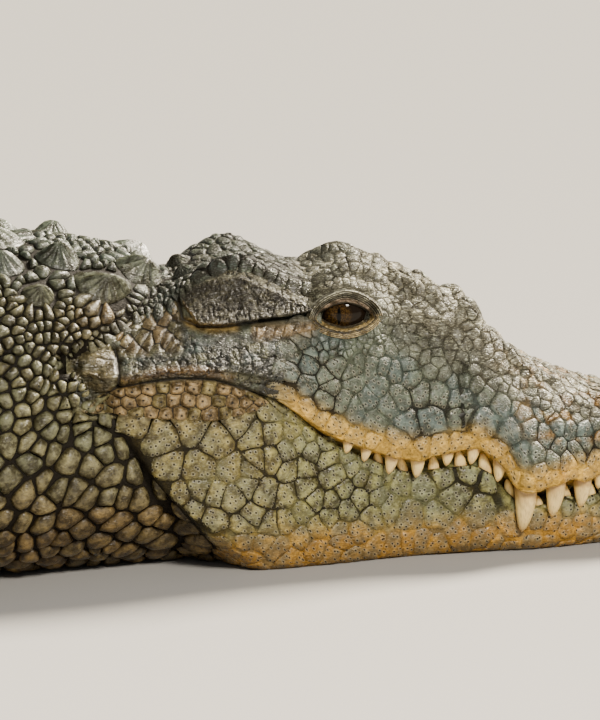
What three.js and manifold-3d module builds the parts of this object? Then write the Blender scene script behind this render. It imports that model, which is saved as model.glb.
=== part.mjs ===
// A Nile crocodile at rest on its belly, life size, in millimetres, +Z up, +X towards the snout.
// Every place along the animal is given as s, the distance behind the snout tip along the spine.
// The floor is z = 0: lower jaw, throat, belly, tail and feet rest on it on small flats.
// The origin is the middle of the belly's flat, and the animal's right side faces -Y.

import * as THREE from 'three';
import { mergeVertices } from 'three/addons/utils/BufferGeometryUtils.js';
import Module from 'manifold-3d';

const wasm = await Module();
wasm.setup();

// ---- driving dimensions -------------------------------------------------------------------

const SNOUT_X = 1360; // snout tip ahead of the belly's rest point
const TOTAL_LENGTH = 3520; // snout tip to tail tip along the spine
const GAP = 0.3; // width of every cut between two neighbours
const CUTTER = 3000; // length of a cutting box, longer than anything that is cut
const CUTTER_HALF = 450; // its half width and half height, past the animal's sides and top

const JAW_TIP = 10; // the lower jaw starts this far behind the snout tip
const SNOUT_END = 296; // cut between snout and cranium, just ahead of the eyes
const HEAD_END = 598; // back of the jaw joint
const NECK_START = 452;
const NECK_END = 880;
const TRUNK_CUTS = [880, 1150, 1450, 1760];
const TAIL_SEGMENTS = 4;

const JOWL_SLOPE = 1.27; // rise over run of the lower jaw's slanted rear margin
const JOWL_FOOT = 458; // where that margin would meet the floor

const EYE = { s: 344, y: 56, z: 226, radius: 20 };
const EYE_OPENING = { y: 84, length: 44, height: 25, depth: 40 };

const TAIL_BEND_1 = { start: 1700, radius: 1500 }; // the tail swings to the left
const TAIL_BEND_2 = { start: 2480, radius: 1050 }; // and curls back to the right

const SCUTE_ROW = 62; // length of one row of back scutes
const SCUTE_KEEL = 12; // height of a back scute's keel
const WHORLS = 36; // rings of scales on the tail
const CREST_MERGE = 2520; // the tail's two crests become one here
const CREST_HEIGHT = 44;

const BODY_POWER = 2.3; // roundness of a body section, a superellipse
const BODY_LIFT = 1.06; // its lower half is cut off flat by the floor at this share of the waist

const TOOTH = { flat: 0.85, sunk: 0.22, tip: 0.94, tipGirth: 0.25, backward: 1.5 };
const LIP_BAND = 13; // height of the upper lip's band
const LIP_BULGE = 1.5; // how far that band stands out
const GUM_INSET = 9; // the gum stands this far inside the lower lip where the mouth shows it
const TOE_START = 30; // toes leave the palm this far from its middle
const CLAW_CLEARANCE = 0.8; // between a toe's flat end and its claw
const CLAW_REACH = 2.6; // length of a claw over its toe's radius

// ---- profiles along the animal, as [s, value] stations joined by a smooth monotone curve -----

const lipHalfWidth = profile([[0, 16], [12, 42], [34, 57], [58, 53], [76, 47], [104, 60], [140, 77],
  [178, 86], [204, 81], [232, 80], [282, 92], [362, 108], [440, 121], [540, 137], [598, 118]]);
const lipHeight = profile([[0, 78], [34, 66], [76, 84], [104, 70], [124, 65], [136, 68], [150, 65],
  [179, 62], [203, 85], [227, 99], [252, 97], [282, 94], [330, 107], [362, 121], [426, 163],
  [500, 177], [598, 168]]);
const crownHeight = profile([[0, 90], [12, 110], [32, 126], [60, 131], [94, 144], [152, 163], [183, 177],
  [214, 204], [247, 229], [290, 243], [345, 246], [410, 260], [470, 262], [520, 240], [598, 200]]);
const ridgeHalfWidth = profile([[0, 10], [30, 36], [94, 38], [152, 44], [214, 42], [282, 42], [320, 43],
  [345, 45], [376, 60], [440, 64], [480, 60], [540, 56], [598, 60]]);
const ridgeHeight = profile([[0, 88], [30, 121], [94, 138], [152, 157], [200, 196], [230, 223], [262, 241],
  [290, 252], [318, 268], [342, 275], [360, 268], [380, 258], [445, 281], [476, 268], [520, 238],
  [598, 200]]);
const browHalfWidth = profile([[0, 13], [30, 50], [94, 50], [152, 66], [214, 62], [282, 62], [318, 67],
  [345, 71], [376, 72], [445, 80], [500, 92], [598, 96]]);
const browHeight = profile([[0, 84], [30, 108], [94, 122], [152, 134], [214, 168], [282, 206], [318, 240],
  [345, 249], [376, 240], [445, 242], [500, 228], [598, 198]]);
const cheekHalfWidth = profile([[0, 15], [30, 57], [94, 57], [152, 79], [180, 85], [214, 80], [282, 86],
  [346, 99], [445, 124], [540, 139], [598, 116]]);
const cheekHeight = profile([[0, 80], [30, 92], [94, 100], [152, 102], [200, 120], [282, 145], [346, 165],
  [445, 190], [560, 187], [598, 182]]);

const lowerLipDrop = profile([[0, 20], [60, 22], [130, 22], [200, 19], [260, 16], [330, 10], [426, 0.6],
  [598, 0.6]]);
const lowerLipHalfWidth = profile([[10, 18], [26, 35], [60, 38], [100, 48], [178, 70], [260, 74], [340, 92],
  [440, 118], [540, 137], [598, 116]]);
const jawHalfWidth = profile([[10, 17], [26, 36], [60, 42], [178, 72], [260, 79], [340, 98], [440, 124],
  [540, 136], [598, 114]]);
const jawFlatHalfWidth = profile([[10, 9], [30, 28], [100, 44], [178, 62], [260, 70], [440, 106], [598, 98]]);

const bodyHalfWidth = profile([[460, 78], [520, 108], [560, 126], [600, 152], [650, 180], [760, 200],
  [900, 222], [1100, 262], [1300, 282], [1500, 262], [1660, 205], [1800, 140], [1950, 112], [2300, 82],
  [2700, 52], [3100, 30], [3400, 14], [3520, 4]]);
const bodyHeight = profile([[460, 236], [517, 270], [560, 283], [600, 290], [650, 295], [900, 310],
  [1150, 330], [1350, 338], [1600, 326], [1800, 276], [1950, 246], [2300, 206], [2700, 164], [3100, 112],
  [3400, 58], [3520, 22]]);
const widestHeight = profile([[460, 120], [650, 128], [900, 130], [1350, 112], [1700, 108], [2000, 95],
  [2700, 66], [3520, 9]]);
const crestHeight = profile([[880, 9], [1000, SCUTE_KEEL], [1600, SCUTE_KEEL], [1800, 18],
  [CREST_MERGE, 38], [2800, CREST_HEIGHT], [3200, 36], [3520, 10]]);

// ---- small tools --------------------------------------------------------------------------

// Monotone cubic curve through stations: its slope at a station is the harmonic mean of the
// slopes on both sides, and zero where they differ in sign, so it never swings past a station.
function profile(stations) {
  const rise = (i) => (stations[i + 1][1] - stations[i][1]) / (stations[i + 1][0] - stations[i][0]);
  const slope = stations.map((_, i) => {
    if (i === 0) return rise(0);
    if (i === stations.length - 1) return rise(i - 1);
    const a = rise(i - 1);
    const b = rise(i);
    return a * b > 0 ? (2 * a * b) / (a + b) : 0;
  });
  return (s) => {
    const last = stations.length - 1;
    if (s <= stations[0][0]) return stations[0][1];
    if (s >= stations[last][0]) return stations[last][1];
    let i = 0;
    while (s > stations[i + 1][0]) i += 1;
    const span = stations[i + 1][0] - stations[i][0];
    const t = (s - stations[i][0]) / span;
    const u = 1 - t;
    return stations[i][1] * u * u * (1 + 2 * t) + stations[i + 1][1] * t * t * (3 - 2 * t)
      + span * (slope[i] * t * u * u - slope[i + 1] * t * t * u);
  };
}

// The spine: straight to the first bend, then one arc to the left and one back to the right.
// Returns the point (x, y) and the heading, the angle that the tail has turned.
function spine(s) {
  const arc = (from, bend, turn, length) => {
    const angle = (turn * length) / bend.radius;
    const heading = from.heading + angle;
    return { x: from.x + turn * bend.radius * (Math.sin(heading) - Math.sin(from.heading)),
      y: from.y + turn * bend.radius * (Math.cos(from.heading) - Math.cos(heading)), heading };
  };
  // headings are measured for a walker who goes backwards along -X and turns towards +Y
  const straight = { x: Math.min(s, TAIL_BEND_1.start), y: 0, heading: 0 };
  let at = straight;
  if (s > TAIL_BEND_1.start) {
    at = arc(straight, TAIL_BEND_1, 1, Math.min(s, TAIL_BEND_2.start) - TAIL_BEND_1.start);
  }
  if (s > TAIL_BEND_2.start) at = arc(at, TAIL_BEND_2, -1, s - TAIL_BEND_2.start);
  return { x: SNOUT_X - at.x, y: at.y, heading: at.heading };
}

// The point at s along the spine, offset y to the animal's left and z above the floor.
function place(s, y, z) {
  const at = spine(s);
  return new THREE.Vector3(at.x + y * Math.sin(at.heading), at.y + y * Math.cos(at.heading), z);
}

// A closed body through rings of equal length; its ends are closed by fans.
function loft(rings) {
  const count = rings[0].length;
  const points = rings.flat();
  const index = [];
  for (let i = 0; i + 1 < rings.length; i += 1) {
    for (let j = 0; j < count; j += 1) {
      const a = i * count + j;
      const b = i * count + ((j + 1) % count);
      index.push(a, b, a + count, b, b + count, a + count);
    }
  }
  for (const [ring, flip] of [[0, true], [rings.length - 1, false]]) {
    const centre = rings[ring].reduce((sum, p) => sum.add(p), new THREE.Vector3());
    points.push(centre.divideScalar(count));
    for (let j = 0; j < count; j += 1) {
      const a = ring * count + j;
      const b = ring * count + ((j + 1) % count);
      index.push(...(flip ? [b, a, points.length - 1] : [a, b, points.length - 1]));
    }
  }
  const geometry = new THREE.BufferGeometry();
  geometry.setAttribute('position', new THREE.Float32BufferAttribute(points.flatMap((p) => p.toArray()), 3));
  geometry.setIndex(index);
  return solid(geometry);
}

// A manifold solid from a closed geometry, turned so that its faces point out.
function solid(geometry) {
  const bare = geometry.clone();
  for (const name of ['normal', 'uv']) bare.deleteAttribute(name);
  const merged = mergeVertices(bare, 1e-3);
  const vertProperties = new Float32Array(merged.attributes.position.array);
  const triVerts = new Uint32Array(merged.index.array).filter((_, i, all) => {
    const first = i - (i % 3);
    const [a, b, c] = [all[first], all[first + 1], all[first + 2]];
    return a !== b && b !== c && c !== a;
  });
  const corner = (i) => new THREE.Vector3().fromArray(vertProperties, triVerts[i] * 3);
  let volume = 0;
  for (let i = 0; i < triVerts.length; i += 3) {
    volume += corner(i).dot(corner(i + 1).cross(corner(i + 2)));
  }
  if (volume < 0) {
    for (let i = 0; i < triVerts.length; i += 3) {
      [triVerts[i], triVerts[i + 1]] = [triVerts[i + 1], triVerts[i]];
    }
  }
  return new wasm.Manifold(new wasm.Mesh({ numProp: 3, vertProperties, triVerts }));
}

// A box between two corners given as [x, y, z].
function box(low, high) {
  const size = high.map((v, i) => v - low[i]);
  const geometry = new THREE.BoxGeometry(...size);
  geometry.translate(...low.map((v, i) => v + size[i] / 2));
  return solid(geometry);
}

// Everything behind the plane across the spine at s, or ahead of it.
function behind(s) {
  return crosswise(s, -1);
}

function ahead(s) {
  return crosswise(s, 1);
}

function crosswise(s, side) {
  const at = spine(s);
  const geometry = new THREE.BoxGeometry(CUTTER, 2 * CUTTER_HALF, 2 * CUTTER_HALF);
  geometry.translate((side * CUTTER) / 2, 0, 0);
  geometry.rotateZ(-at.heading);
  geometry.translate(at.x, at.y, 0);
  return solid(geometry);
}

const underFloor = box([-CUTTER, -CUTTER, -CUTTER], [CUTTER, CUTTER, 0]);

// Numbers from low to high in equal steps, both ends included.
function steps(low, high, count) {
  return Array.from({ length: count + 1 }, (_, i) => low + ((high - low) * i) / count);
}

// Directions all round a circle, without the repeated last one.
function around(count) {
  return steps(0, 2 * Math.PI, count).slice(0, count);
}

// One half of a section, from its floor or palate to its crown, mirrored into a whole ring.
function mirrored(half) {
  const left = half.filter(([y]) => y > 0.01).reverse().map(([y, z]) => [-y, z]);
  return [...half, ...left];
}

// ---- head ---------------------------------------------------------------------------------

// A rounded run between three corners: the middle one is passed at a distance.
function rounded(a, b, c, share = 0.22) {
  const mix = (p, q, t) => [p[0] + (q[0] - p[0]) * t, p[1] + (q[1] - p[1]) * t];
  return [mix(b, a, share), mix(b, c, share)];
}

// Upper head section: palate, lip, cheek, brow, ridge or skull-table edge, crown.
function upperHeadRing(s, grow) {
  const lip = [lipHalfWidth(s) + grow, lipHeight(s) - grow];
  const lipTop = [lipHalfWidth(s) + LIP_BULGE + grow, lipHeight(s) + LIP_BAND];
  const cheek = [cheekHalfWidth(s) + grow, cheekHeight(s)];
  const brow = [browHalfWidth(s) + grow, browHeight(s) + grow];
  const ridge = [ridgeHalfWidth(s) + grow, ridgeHeight(s) + grow];
  const crown = [0, crownHeight(s) + grow];
  const half = [lip, lipTop, cheek,
    ...rounded(cheek, brow, ridge), ...rounded(brow, ridge, crown), crown];
  return mirrored(half).map(([y, z]) => place(s, y, z));
}

// Lower jaw section: flat underside, side wall, lip and the gum that stands inside the teeth.
function lowerJawRing(s, grow) {
  const lipZ = lipHeight(s) - lowerLipDrop(s);
  const wall = lowerLipHalfWidth(s) + grow;
  const gum = wall - Math.min(GUM_INSET, GUM_INSET / 3 + lowerLipDrop(s));
  const roof = lipHeight(s) - 0.6 + grow;
  const half = [[jawFlatHalfWidth(s) + grow, -grow],
    [jawHalfWidth(s) * 0.96 + grow, lipZ * 0.12], [jawHalfWidth(s) + grow, lipZ * 0.5],
    [wall, Math.min(lipZ + grow, roof - 4)], [gum, roof]];
  return mirrored(half).map(([y, z]) => place(s, y, z));
}

const headStations = [0, 5, 16, 34, 56, 76, 98, 122, 150, 179, 204, 230, 256, 282, 306, 324, 343, 362, 382,
  412, 445, 476, 510, 550, HEAD_END];
const jawStations = [JAW_TIP, ...headStations.filter((s) => s > JAW_TIP)];

function upperHead(grow = 0) {
  return loft(headStations.map((s) => upperHeadRing(s, grow)));
}

// The lower jaw ends at a slanted margin that rises backwards from the throat to the jaw joint.
function lowerJaw(grow = 0) {
  const whole = loft(jawStations.map((s) => lowerJawRing(s, grow)));
  const slant = new THREE.BoxGeometry(CUTTER, CUTTER, CUTTER);
  slant.translate(-CUTTER / 2, 0, 0);
  slant.rotateY(-(Math.PI / 2 - Math.atan(JOWL_SLOPE)));
  slant.translate(SNOUT_X - JOWL_FOOT - grow * 1.3, 0, 0);
  return whole.subtract(solid(slant));
}

// A tooth: a cone with a round tip, leaning outwards, its root sunk in the gum.
function tooth(s, side, y, rootZ, length, girth, up, lean, grow = 0) {
  const radius = girth + grow;
  const root = place(s, side * y, rootZ);
  const tip = place(s + TOOTH.backward, side * (y + lean), rootZ + (up ? 1 : -1) * (length + 2 * grow));
  const sunk = root.clone().lerp(tip, -TOOTH.sunk);
  const across = new THREE.Vector3(0, 1, 0);
  const along = new THREE.Vector3(1, 0, 0);
  const ring = (centre, r) => around(4).map((a) => centre.clone()
    .addScaledVector(along, r * Math.cos(a)).addScaledVector(across, r * TOOTH.flat * Math.sin(a)));
  return loft([ring(sunk, radius), ring(root.clone().lerp(tip, TOOTH.tip), radius * TOOTH.tipGirth + grow)]);
}

// Places and lengths of the teeth that show below the upper lip, from the snout tip backwards.
const UPPER_TEETH = [[9, 12], [20, 15], [36, 22], [48, 24], [60, 13], [88, 10], [104, 17], [123, 29],
  [150, 33], [179, 40], [203, 17], [227, 15], [252, 13], [281, 19], [305, 17], [329, 11], [346, 9]];
const LOWER_TEETH = [[20, 20], [30, 14], [44, 12], [76, 38], [96, 12], [112, 14], [137, 14], [164, 9],
  [192, 13], [215, 22], [238, 18], [264, 14], [293, 12], [317, 9]];

function upperTeeth(grow = 0) {
  const teeth = [];
  for (const side of [-1, 1]) {
    for (const [s, length] of UPPER_TEETH) {
      const girth = 2.2 + length * 0.155;
      const y = lipHalfWidth(s) - 1.2 - girth * TOOTH.flat;
      teeth.push(tooth(s, side, y, lipHeight(s), length, girth, false, 2, grow));
    }
  }
  return teeth;
}

function lowerTeeth() {
  const teeth = [];
  for (const side of [-1, 1]) {
    for (const [s, length] of LOWER_TEETH) {
      const girth = 1.8 + length * 0.12;
      const rootZ = lipHeight(s) - lowerLipDrop(s);
      const outside = length > 30 ? 8 : 0;
      const shown = Math.min(length, outside ? length : lowerLipDrop(s) - 1);
      const y = lowerLipHalfWidth(s) - 5 + outside;
      teeth.push(tooth(s, side, y, rootZ, shown, girth, true, outside ? 3 : 0.5));
    }
  }
  return teeth;
}

function eyeball(side, grow = 0) {
  const geometry = new THREE.SphereGeometry(EYE.radius + grow, 10, 6);
  geometry.rotateX(Math.PI / 2);
  const at = place(EYE.s, side * EYE.y, EYE.z);
  geometry.translate(at.x, at.y, at.z);
  return solid(geometry);
}

// The almond between the lids, as an ellipsoid that reaches in to the eyeball.
function eyeOpening(side) {
  const geometry = new THREE.SphereGeometry(0.5, 10, 6);
  geometry.scale(EYE_OPENING.length, EYE_OPENING.depth, EYE_OPENING.height);
  const at = place(EYE.s, side * EYE_OPENING.y, EYE.z);
  geometry.translate(at.x, at.y, at.z);
  return solid(geometry);
}

// ---- neck, trunk and tail -----------------------------------------------------------------

// A body section: a superellipse above the widest line, and below it one that is cut off flat by
// the floor. The columns are shares of the half width; keels lift some of them.
function bodyRing(s, columns, keels, lift, grow) {
  const width = bodyHalfWidth(s) + grow;
  const waist = widestHeight(s);
  const top = bodyHeight(s) + grow;
  const round = (share) => (1 - share ** BODY_POWER) ** (1 / BODY_POWER);
  const above = (share) => waist + (top - waist) * round(share);
  const below = (share) => Math.max(-grow, waist * (1 - BODY_LIFT * round(share)));
  const half = [[width * 0.5, -grow], [width * 0.84, below(0.84)]];
  for (const share of [...columns].reverse()) {
    const raise = lift * (keels[columns.indexOf(share)] || 0);
    const outward = share * raise * 0.6;
    half.push([share * width + outward, above(share) + raise * Math.sqrt(1 - (0.8 * share) ** 2)]);
  }
  return mirrored(half).map(([y, z]) => place(s, y, z));
}

const TRUNK_COLUMNS = [0, 0.13, 0.27, 0.42, 0.6, 0.84, 1];
const TRUNK_KEELS = [0, 1, 0, 1, 0, 0, 0];
const TAIL_COLUMNS = [0, 0.42, 1];
const NECK_COLUMNS = [0, 0.22, 0.45, 0.7, 0.88, 1];

function neckSolid(grow = 0) {
  const rings = steps(NECK_START, NECK_END - GAP, 7).map((s) => bodyRing(s, NECK_COLUMNS, [], 0, grow));
  return loft(rings);
}

// Neck scutes: low pyramids with a crest, four across the nape and a shield of six behind them.
const NAPE_SCUTES = [[528, 30, 19, 17, 12], [528, 92, 17, 15, 11], [556, 62, 15, 14, 10],
  [650, 34, 34, 30, 11], [650, 98, 30, 26, 12], [712, 34, 34, 30, 11], [712, 96, 26, 22, 10],
  [768, 30, 28, 24, 9]];

function scute(s, y, halfLength, halfWidth, height) {
  const half = bodyHalfWidth(s);
  const surface = (across) => widestHeight(s) + (bodyHeight(s) - widestHeight(s))
    * (1 - Math.min(0.98, Math.abs(across) / half) ** BODY_POWER) ** (1 / BODY_POWER);
  const tilt = Math.atan2(surface(y + 10) - surface(y - 10), 20);
  const at = (ds, dy, dz) => place(s + ds, y + dy * Math.cos(tilt) - dz * Math.sin(tilt),
    surface(y) + dy * Math.sin(tilt) + dz * Math.cos(tilt));
  const ring = (share, crest, lift) => around(6)
    .map((a) => at(halfLength * share * Math.cos(a), halfWidth * crest * Math.sin(a), lift));
  return loft([ring(1.05, 1.05, -6), ring(0.55, 0.06, height)]);
}

function napeScutes() {
  return NAPE_SCUTES.flatMap(([s, y, l, w, h]) => [scute(s, y, l, w, h), scute(s, -y, l, w, h)]);
}

// The trunk: rows of scutes, each raised in its middle and low where it meets the next one.
function trunkLength(from, to, grow = 0) {
  const first = TRUNK_CUTS[0];
  const stations = [from];
  for (let row = 0; first + row * SCUTE_ROW < to - 2; row += 1) {
    for (const [share, lifted] of [[0, false], [0.55, true]]) {
      const s = first + (row + share) * SCUTE_ROW;
      if (s > from + 2 && s < to - 2) stations.push(lifted ? { s } : s);
    }
  }
  stations.push(to);
  return loft(stations.map((station) => {
    const s = station.s ?? station;
    return bodyRing(s, TRUNK_COLUMNS, TRUNK_KEELS, station.s ? crestHeight(s) : 0, grow);
  }));
}

// The tail: whorls of scales, each with a blade that leans back, in two crests and then in one.
const tailStart = TRUNK_CUTS[TRUNK_CUTS.length - 1];

function whorlStart(k) {
  const share = k / WHORLS;
  return tailStart + (TOTAL_LENGTH - tailStart) * (share * 1.22 - share * share * 0.22);
}

function tailLength(fromWhorl, toWhorl) {
  const rings = [];
  for (let k = fromWhorl; k < toWhorl; k += 1) {
    const start = whorlStart(k) + (k === fromWhorl ? GAP : 0);
    const peak = whorlStart(k) + 0.72 * (whorlStart(k + 1) - whorlStart(k));
    const keels = peak < CREST_MERGE ? [0.1, 1, 0] : [1, 0.12, 0];
    rings.push(bodyRing(start, TAIL_COLUMNS, keels, crestHeight(start) * 0.15, 0));
    rings.push(bodyRing(peak, TAIL_COLUMNS, keels, crestHeight(peak), 0));
  }
  const end = whorlStart(toWhorl);
  rings.push(bodyRing(end, TAIL_COLUMNS, [0.3, 0.3, 0], crestHeight(end) * 0.15, 0));
  return loft(rings);
}

// ---- legs ---------------------------------------------------------------------------------

// A tapered limb through joints given as [point, half width, half height].
function limb(joints, grow = 0, sides = 8, perJoint = 2) {
  const curve = new THREE.CatmullRomCurve3(joints.map(([p]) => p));
  const count = (joints.length - 1) * perJoint;
  const rings = steps(0, 1, count).map((t, i) => {
    const centre = curve.getPoint(t);
    const ahead3 = curve.getTangent(t);
    const across = new THREE.Vector3().crossVectors(new THREE.Vector3(0, 0, 1), ahead3).normalize();
    const up = new THREE.Vector3().crossVectors(ahead3, across);
    const at = Math.min(joints.length - 2, Math.floor(i / perJoint));
    const share = i / perJoint - at;
    const wide = joints[at][1] * (1 - share) + joints[at + 1][1] * share + grow;
    const high = joints[at][2] * (1 - share) + joints[at + 1][2] * share + grow;
    const end = i === 0 ? -grow : i === count ? grow : 0;
    centre.addScaledVector(ahead3, end);
    return around(sides).map((a) => centre.clone()
      .addScaledVector(across, wide * Math.cos(a)).addScaledVector(up, high * Math.sin(a)));
  });
  return loft(rings);
}

// Joint places of the right legs as [s, y, z]; the left ones mirror them.
const FRONT_LEG = {
  upper: [[[880, 150, 150], 46, 62], [[930, 214, 132], 50, 58], [[1000, 286, 84], 40, 44]],
  lower: [[[1014, 292, 70], 37, 40], [[950, 336, 60], 36, 37], [[874, 376, 34], 27, 25]],
  palm: [[[884, 372, 26], 26, 24], [[852, 392, 17], 34, 20], [[824, 408, 12], 32, 14]],
  toes: [[-62, 62, 9, true], [-34, 84, 10, true], [-4, 92, 10, true], [26, 80, 8, false], [58, 58, 7, false]],
  heading: 27,
};
const HIND_LEG = {
  upper: [[[1668, 112, 150], 66, 84], [[1600, 226, 150], 66, 78], [[1500, 318, 116], 50, 58]],
  lower: [[[1488, 324, 104], 44, 50], [[1560, 372, 84], 42, 44], [[1668, 404, 44], 30, 32]],
  palm: [[[1672, 400, 32], 28, 30], [[1612, 432, 22], 36, 22], [[1556, 458, 13], 42, 14]],
  toes: [[-30, 100, 11, true], [-8, 128, 12, true], [14, 126, 11, true], [38, 96, 9, false]],
  heading: 25,
};

function legPoint([s, y, z], side) {
  return place(Math.min(s, TAIL_BEND_1.start), side * y, z);
}

function legPart(joints, side, grow = 0, perJoint = 2) {
  return limb(joints.map(([p, w, h]) => [legPoint(p, side), w, h]), grow, 8, perJoint);
}

// Toes fan out from the palm's front end; each ends in a flat face that carries the claw.
function toeLine(leg, side, [angle, length, radius], from, to) {
  const base = legPoint(leg.palm[1][0], side);
  const turn = THREE.MathUtils.degToRad(side * (leg.heading + angle));
  const way = new THREE.Vector3(Math.cos(turn), Math.sin(turn), 0);
  const drop = (t) => Math.max(radius * 0.8, base.z - (base.z - radius * 0.8) * t * 1.5);
  const at = (t) => base.clone().addScaledVector(way, TOE_START + length * t).setZ(drop(t));
  return [at(from), at((from + to) / 2), at(to)];
}

function toe(leg, side, spec) {
  const radius = spec[2];
  const [a, b, c] = toeLine(leg, side, spec, -0.08, 1);
  const joints = [[a, radius * 1.15, radius * 1.1], [b, radius * 1.1, radius], [c, radius * 0.72, radius * 0.78]];
  return limb(joints, 0, 5, 1);
}

function claw(leg, side, spec) {
  const radius = spec[2];
  const [start, , end] = toeLine(leg, side, spec, 0, 1);
  const way = end.clone().sub(start).setZ(0).normalize();
  const at = (reach, z) => end.clone().addScaledVector(way, reach).setZ(z);
  const ring = (centre, r) => around(6).map((a) => centre.clone()
    .addScaledVector(new THREE.Vector3(-way.y, way.x, 0), r * 0.7 * Math.cos(a))
    .add(new THREE.Vector3(0, 0, r * Math.sin(a))));
  const reach = radius * CLAW_REACH;
  return loft([ring(at(CLAW_CLEARANCE, radius * 0.86), radius * 0.66), ring(at(reach * 0.6, radius * 0.84), radius * 0.45),
    ring(at(reach, radius * 0.25), radius * 0.12)]);
}

function buildLeg(leg, side, body) {
  const upper = legPart(leg.upper, side).subtract(body).subtract(underFloor);
  const lower = legPart(leg.lower, side).subtract(legPart(leg.upper, side, GAP)).subtract(underFloor);
  let foot = legPart(leg.palm, side, 0, 1).subtract(legPart(leg.lower, side, GAP));
  for (const spec of leg.toes) foot = foot.add(toe(leg, side, spec));
  foot = foot.subtract(legPart(leg.lower, side, GAP)).subtract(underFloor);
  const claws = leg.toes.filter((spec) => spec[3]).map((spec) => claw(leg, side, spec).subtract(underFloor));
  return { upper, lower, foot, claws };
}

// ---- assembly -----------------------------------------------------------------------------

const HIDE_TOP = new THREE.MeshStandardMaterial({ color: 0x6f7468, roughness: 0.7, metalness: 0 });
const HIDE_SIDE = new THREE.MeshStandardMaterial({ color: 0x847c5c, roughness: 0.7, metalness: 0 });
const EYE_DARK = new THREE.MeshStandardMaterial({ color: 0x2a1c0c, roughness: 0.1, metalness: 0 });
const CLAW_HORN = new THREE.MeshStandardMaterial({ color: 0x2d2a24, roughness: 0.45, metalness: 0 });

const crocodile = new THREE.Group();

// Adds the largest body of a solid as a named mesh; crumbs left by a cut are dropped.
function addNode(name, piece, material) {
  const bodies = piece.decompose().sort((a, b) => b.volume() - a.volume());
  const mesh = bodies[0].getMesh();
  const geometry = new THREE.BufferGeometry();
  geometry.setAttribute('position', new THREE.BufferAttribute(new Float32Array(mesh.vertProperties), 3));
  geometry.setIndex(new THREE.BufferAttribute(new Uint32Array(mesh.triVerts), 1));
  geometry.computeVertexNormals();
  const node = new THREE.Mesh(geometry, material);
  node.name = name;
  crocodile.add(node);
}

const sides = [['right', -1], ['left', 1]];

function buildHead() {
  let snout = upperHead().subtract(behind(SNOUT_END - GAP / 2));
  let cranium = upperHead().subtract(ahead(SNOUT_END + GAP / 2));
  for (const piece of upperTeeth()) {
    snout = snout.add(piece.subtract(behind(SNOUT_END - GAP / 2)));
    cranium = cranium.add(piece.subtract(ahead(SNOUT_END + GAP / 2)));
  }
  for (const [, side] of sides) cranium = cranium.subtract(eyeball(side, GAP)).subtract(eyeOpening(side));
  let jaw = lowerJaw();
  for (const piece of lowerTeeth()) jaw = jaw.add(piece.subtract(upperHead(GAP)));
  for (const piece of upperTeeth(GAP)) jaw = jaw.subtract(piece);
  addNode('snout', snout, HIDE_TOP);
  addNode('cranium', cranium, HIDE_TOP);
  addNode('lower_jaw', jaw.subtract(underFloor), HIDE_SIDE);
  for (const [word, side] of sides) addNode(`eye_${word}`, eyeball(side), EYE_DARK);
}

function buildNeck() {
  let neck = neckSolid();
  for (const piece of napeScutes()) neck = neck.add(piece);
  addNode('neck', neck.subtract(upperHead(GAP)).subtract(lowerJaw(GAP)).subtract(underFloor), HIDE_TOP);
}

function buildTrunk() {
  ['trunk_front', 'trunk_middle', 'trunk_rear'].forEach((name, i) => {
    addNode(name, trunkLength(TRUNK_CUTS[i], TRUNK_CUTS[i + 1] - GAP), HIDE_TOP);
  });
}

function buildTail() {
  for (let i = 0; i < TAIL_SEGMENTS; i += 1) {
    const whorls = WHORLS / TAIL_SEGMENTS;
    addNode(`tail_${i + 1}`, tailLength(i * whorls, (i + 1) * whorls), HIDE_TOP);
  }
}

function buildLegs() {
  const body = trunkLength(TRUNK_CUTS[0], TRUNK_CUTS[3] + 60, GAP).add(neckSolid(GAP));
  for (const [kind, leg] of [['front', FRONT_LEG], ['hind', HIND_LEG]]) {
    for (const [word, side] of sides) {
      const parts = buildLeg(leg, side, body);
      addNode(`leg_${kind}_${word}_upper`, parts.upper, HIDE_SIDE);
      addNode(`leg_${kind}_${word}_lower`, parts.lower, HIDE_SIDE);
      addNode(`foot_${kind}_${word}`, parts.foot, HIDE_SIDE);
      parts.claws.forEach((piece, i) => addNode(`claw_${kind}_${word}_${i + 1}`, piece, CLAW_HORN));
    }
  }
}

buildHead();
buildNeck();
buildTrunk();
buildTail();
buildLegs();

export default crocodile;
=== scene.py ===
"""A Nile crocodile, life size, lying still on its belly with its jaws closed.

Lengths are in metres. s is the distance behind the snout tip along the spine, t the distance out from
the middle plane and z the height above the floor. v runs up one half of a section, 0 at the middle of
the belly or throat and 1 at the crown. The head half of a section goes through the corners in V_HEAD.
"""
import math

import bmesh
import bpy
import numpy as np
from mathutils import Matrix, Vector


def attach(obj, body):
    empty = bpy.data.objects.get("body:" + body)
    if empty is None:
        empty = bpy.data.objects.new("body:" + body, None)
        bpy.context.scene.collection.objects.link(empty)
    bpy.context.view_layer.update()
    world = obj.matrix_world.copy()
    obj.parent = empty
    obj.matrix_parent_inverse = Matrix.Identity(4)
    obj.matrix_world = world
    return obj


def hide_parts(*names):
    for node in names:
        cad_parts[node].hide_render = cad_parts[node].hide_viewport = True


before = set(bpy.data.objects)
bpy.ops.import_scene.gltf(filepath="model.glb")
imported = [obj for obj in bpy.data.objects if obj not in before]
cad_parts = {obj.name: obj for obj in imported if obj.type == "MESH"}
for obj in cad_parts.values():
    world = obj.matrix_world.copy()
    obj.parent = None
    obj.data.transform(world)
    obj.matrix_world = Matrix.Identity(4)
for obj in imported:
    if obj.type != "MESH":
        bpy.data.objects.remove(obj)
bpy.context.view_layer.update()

# ---- driving sizes ----

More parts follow.
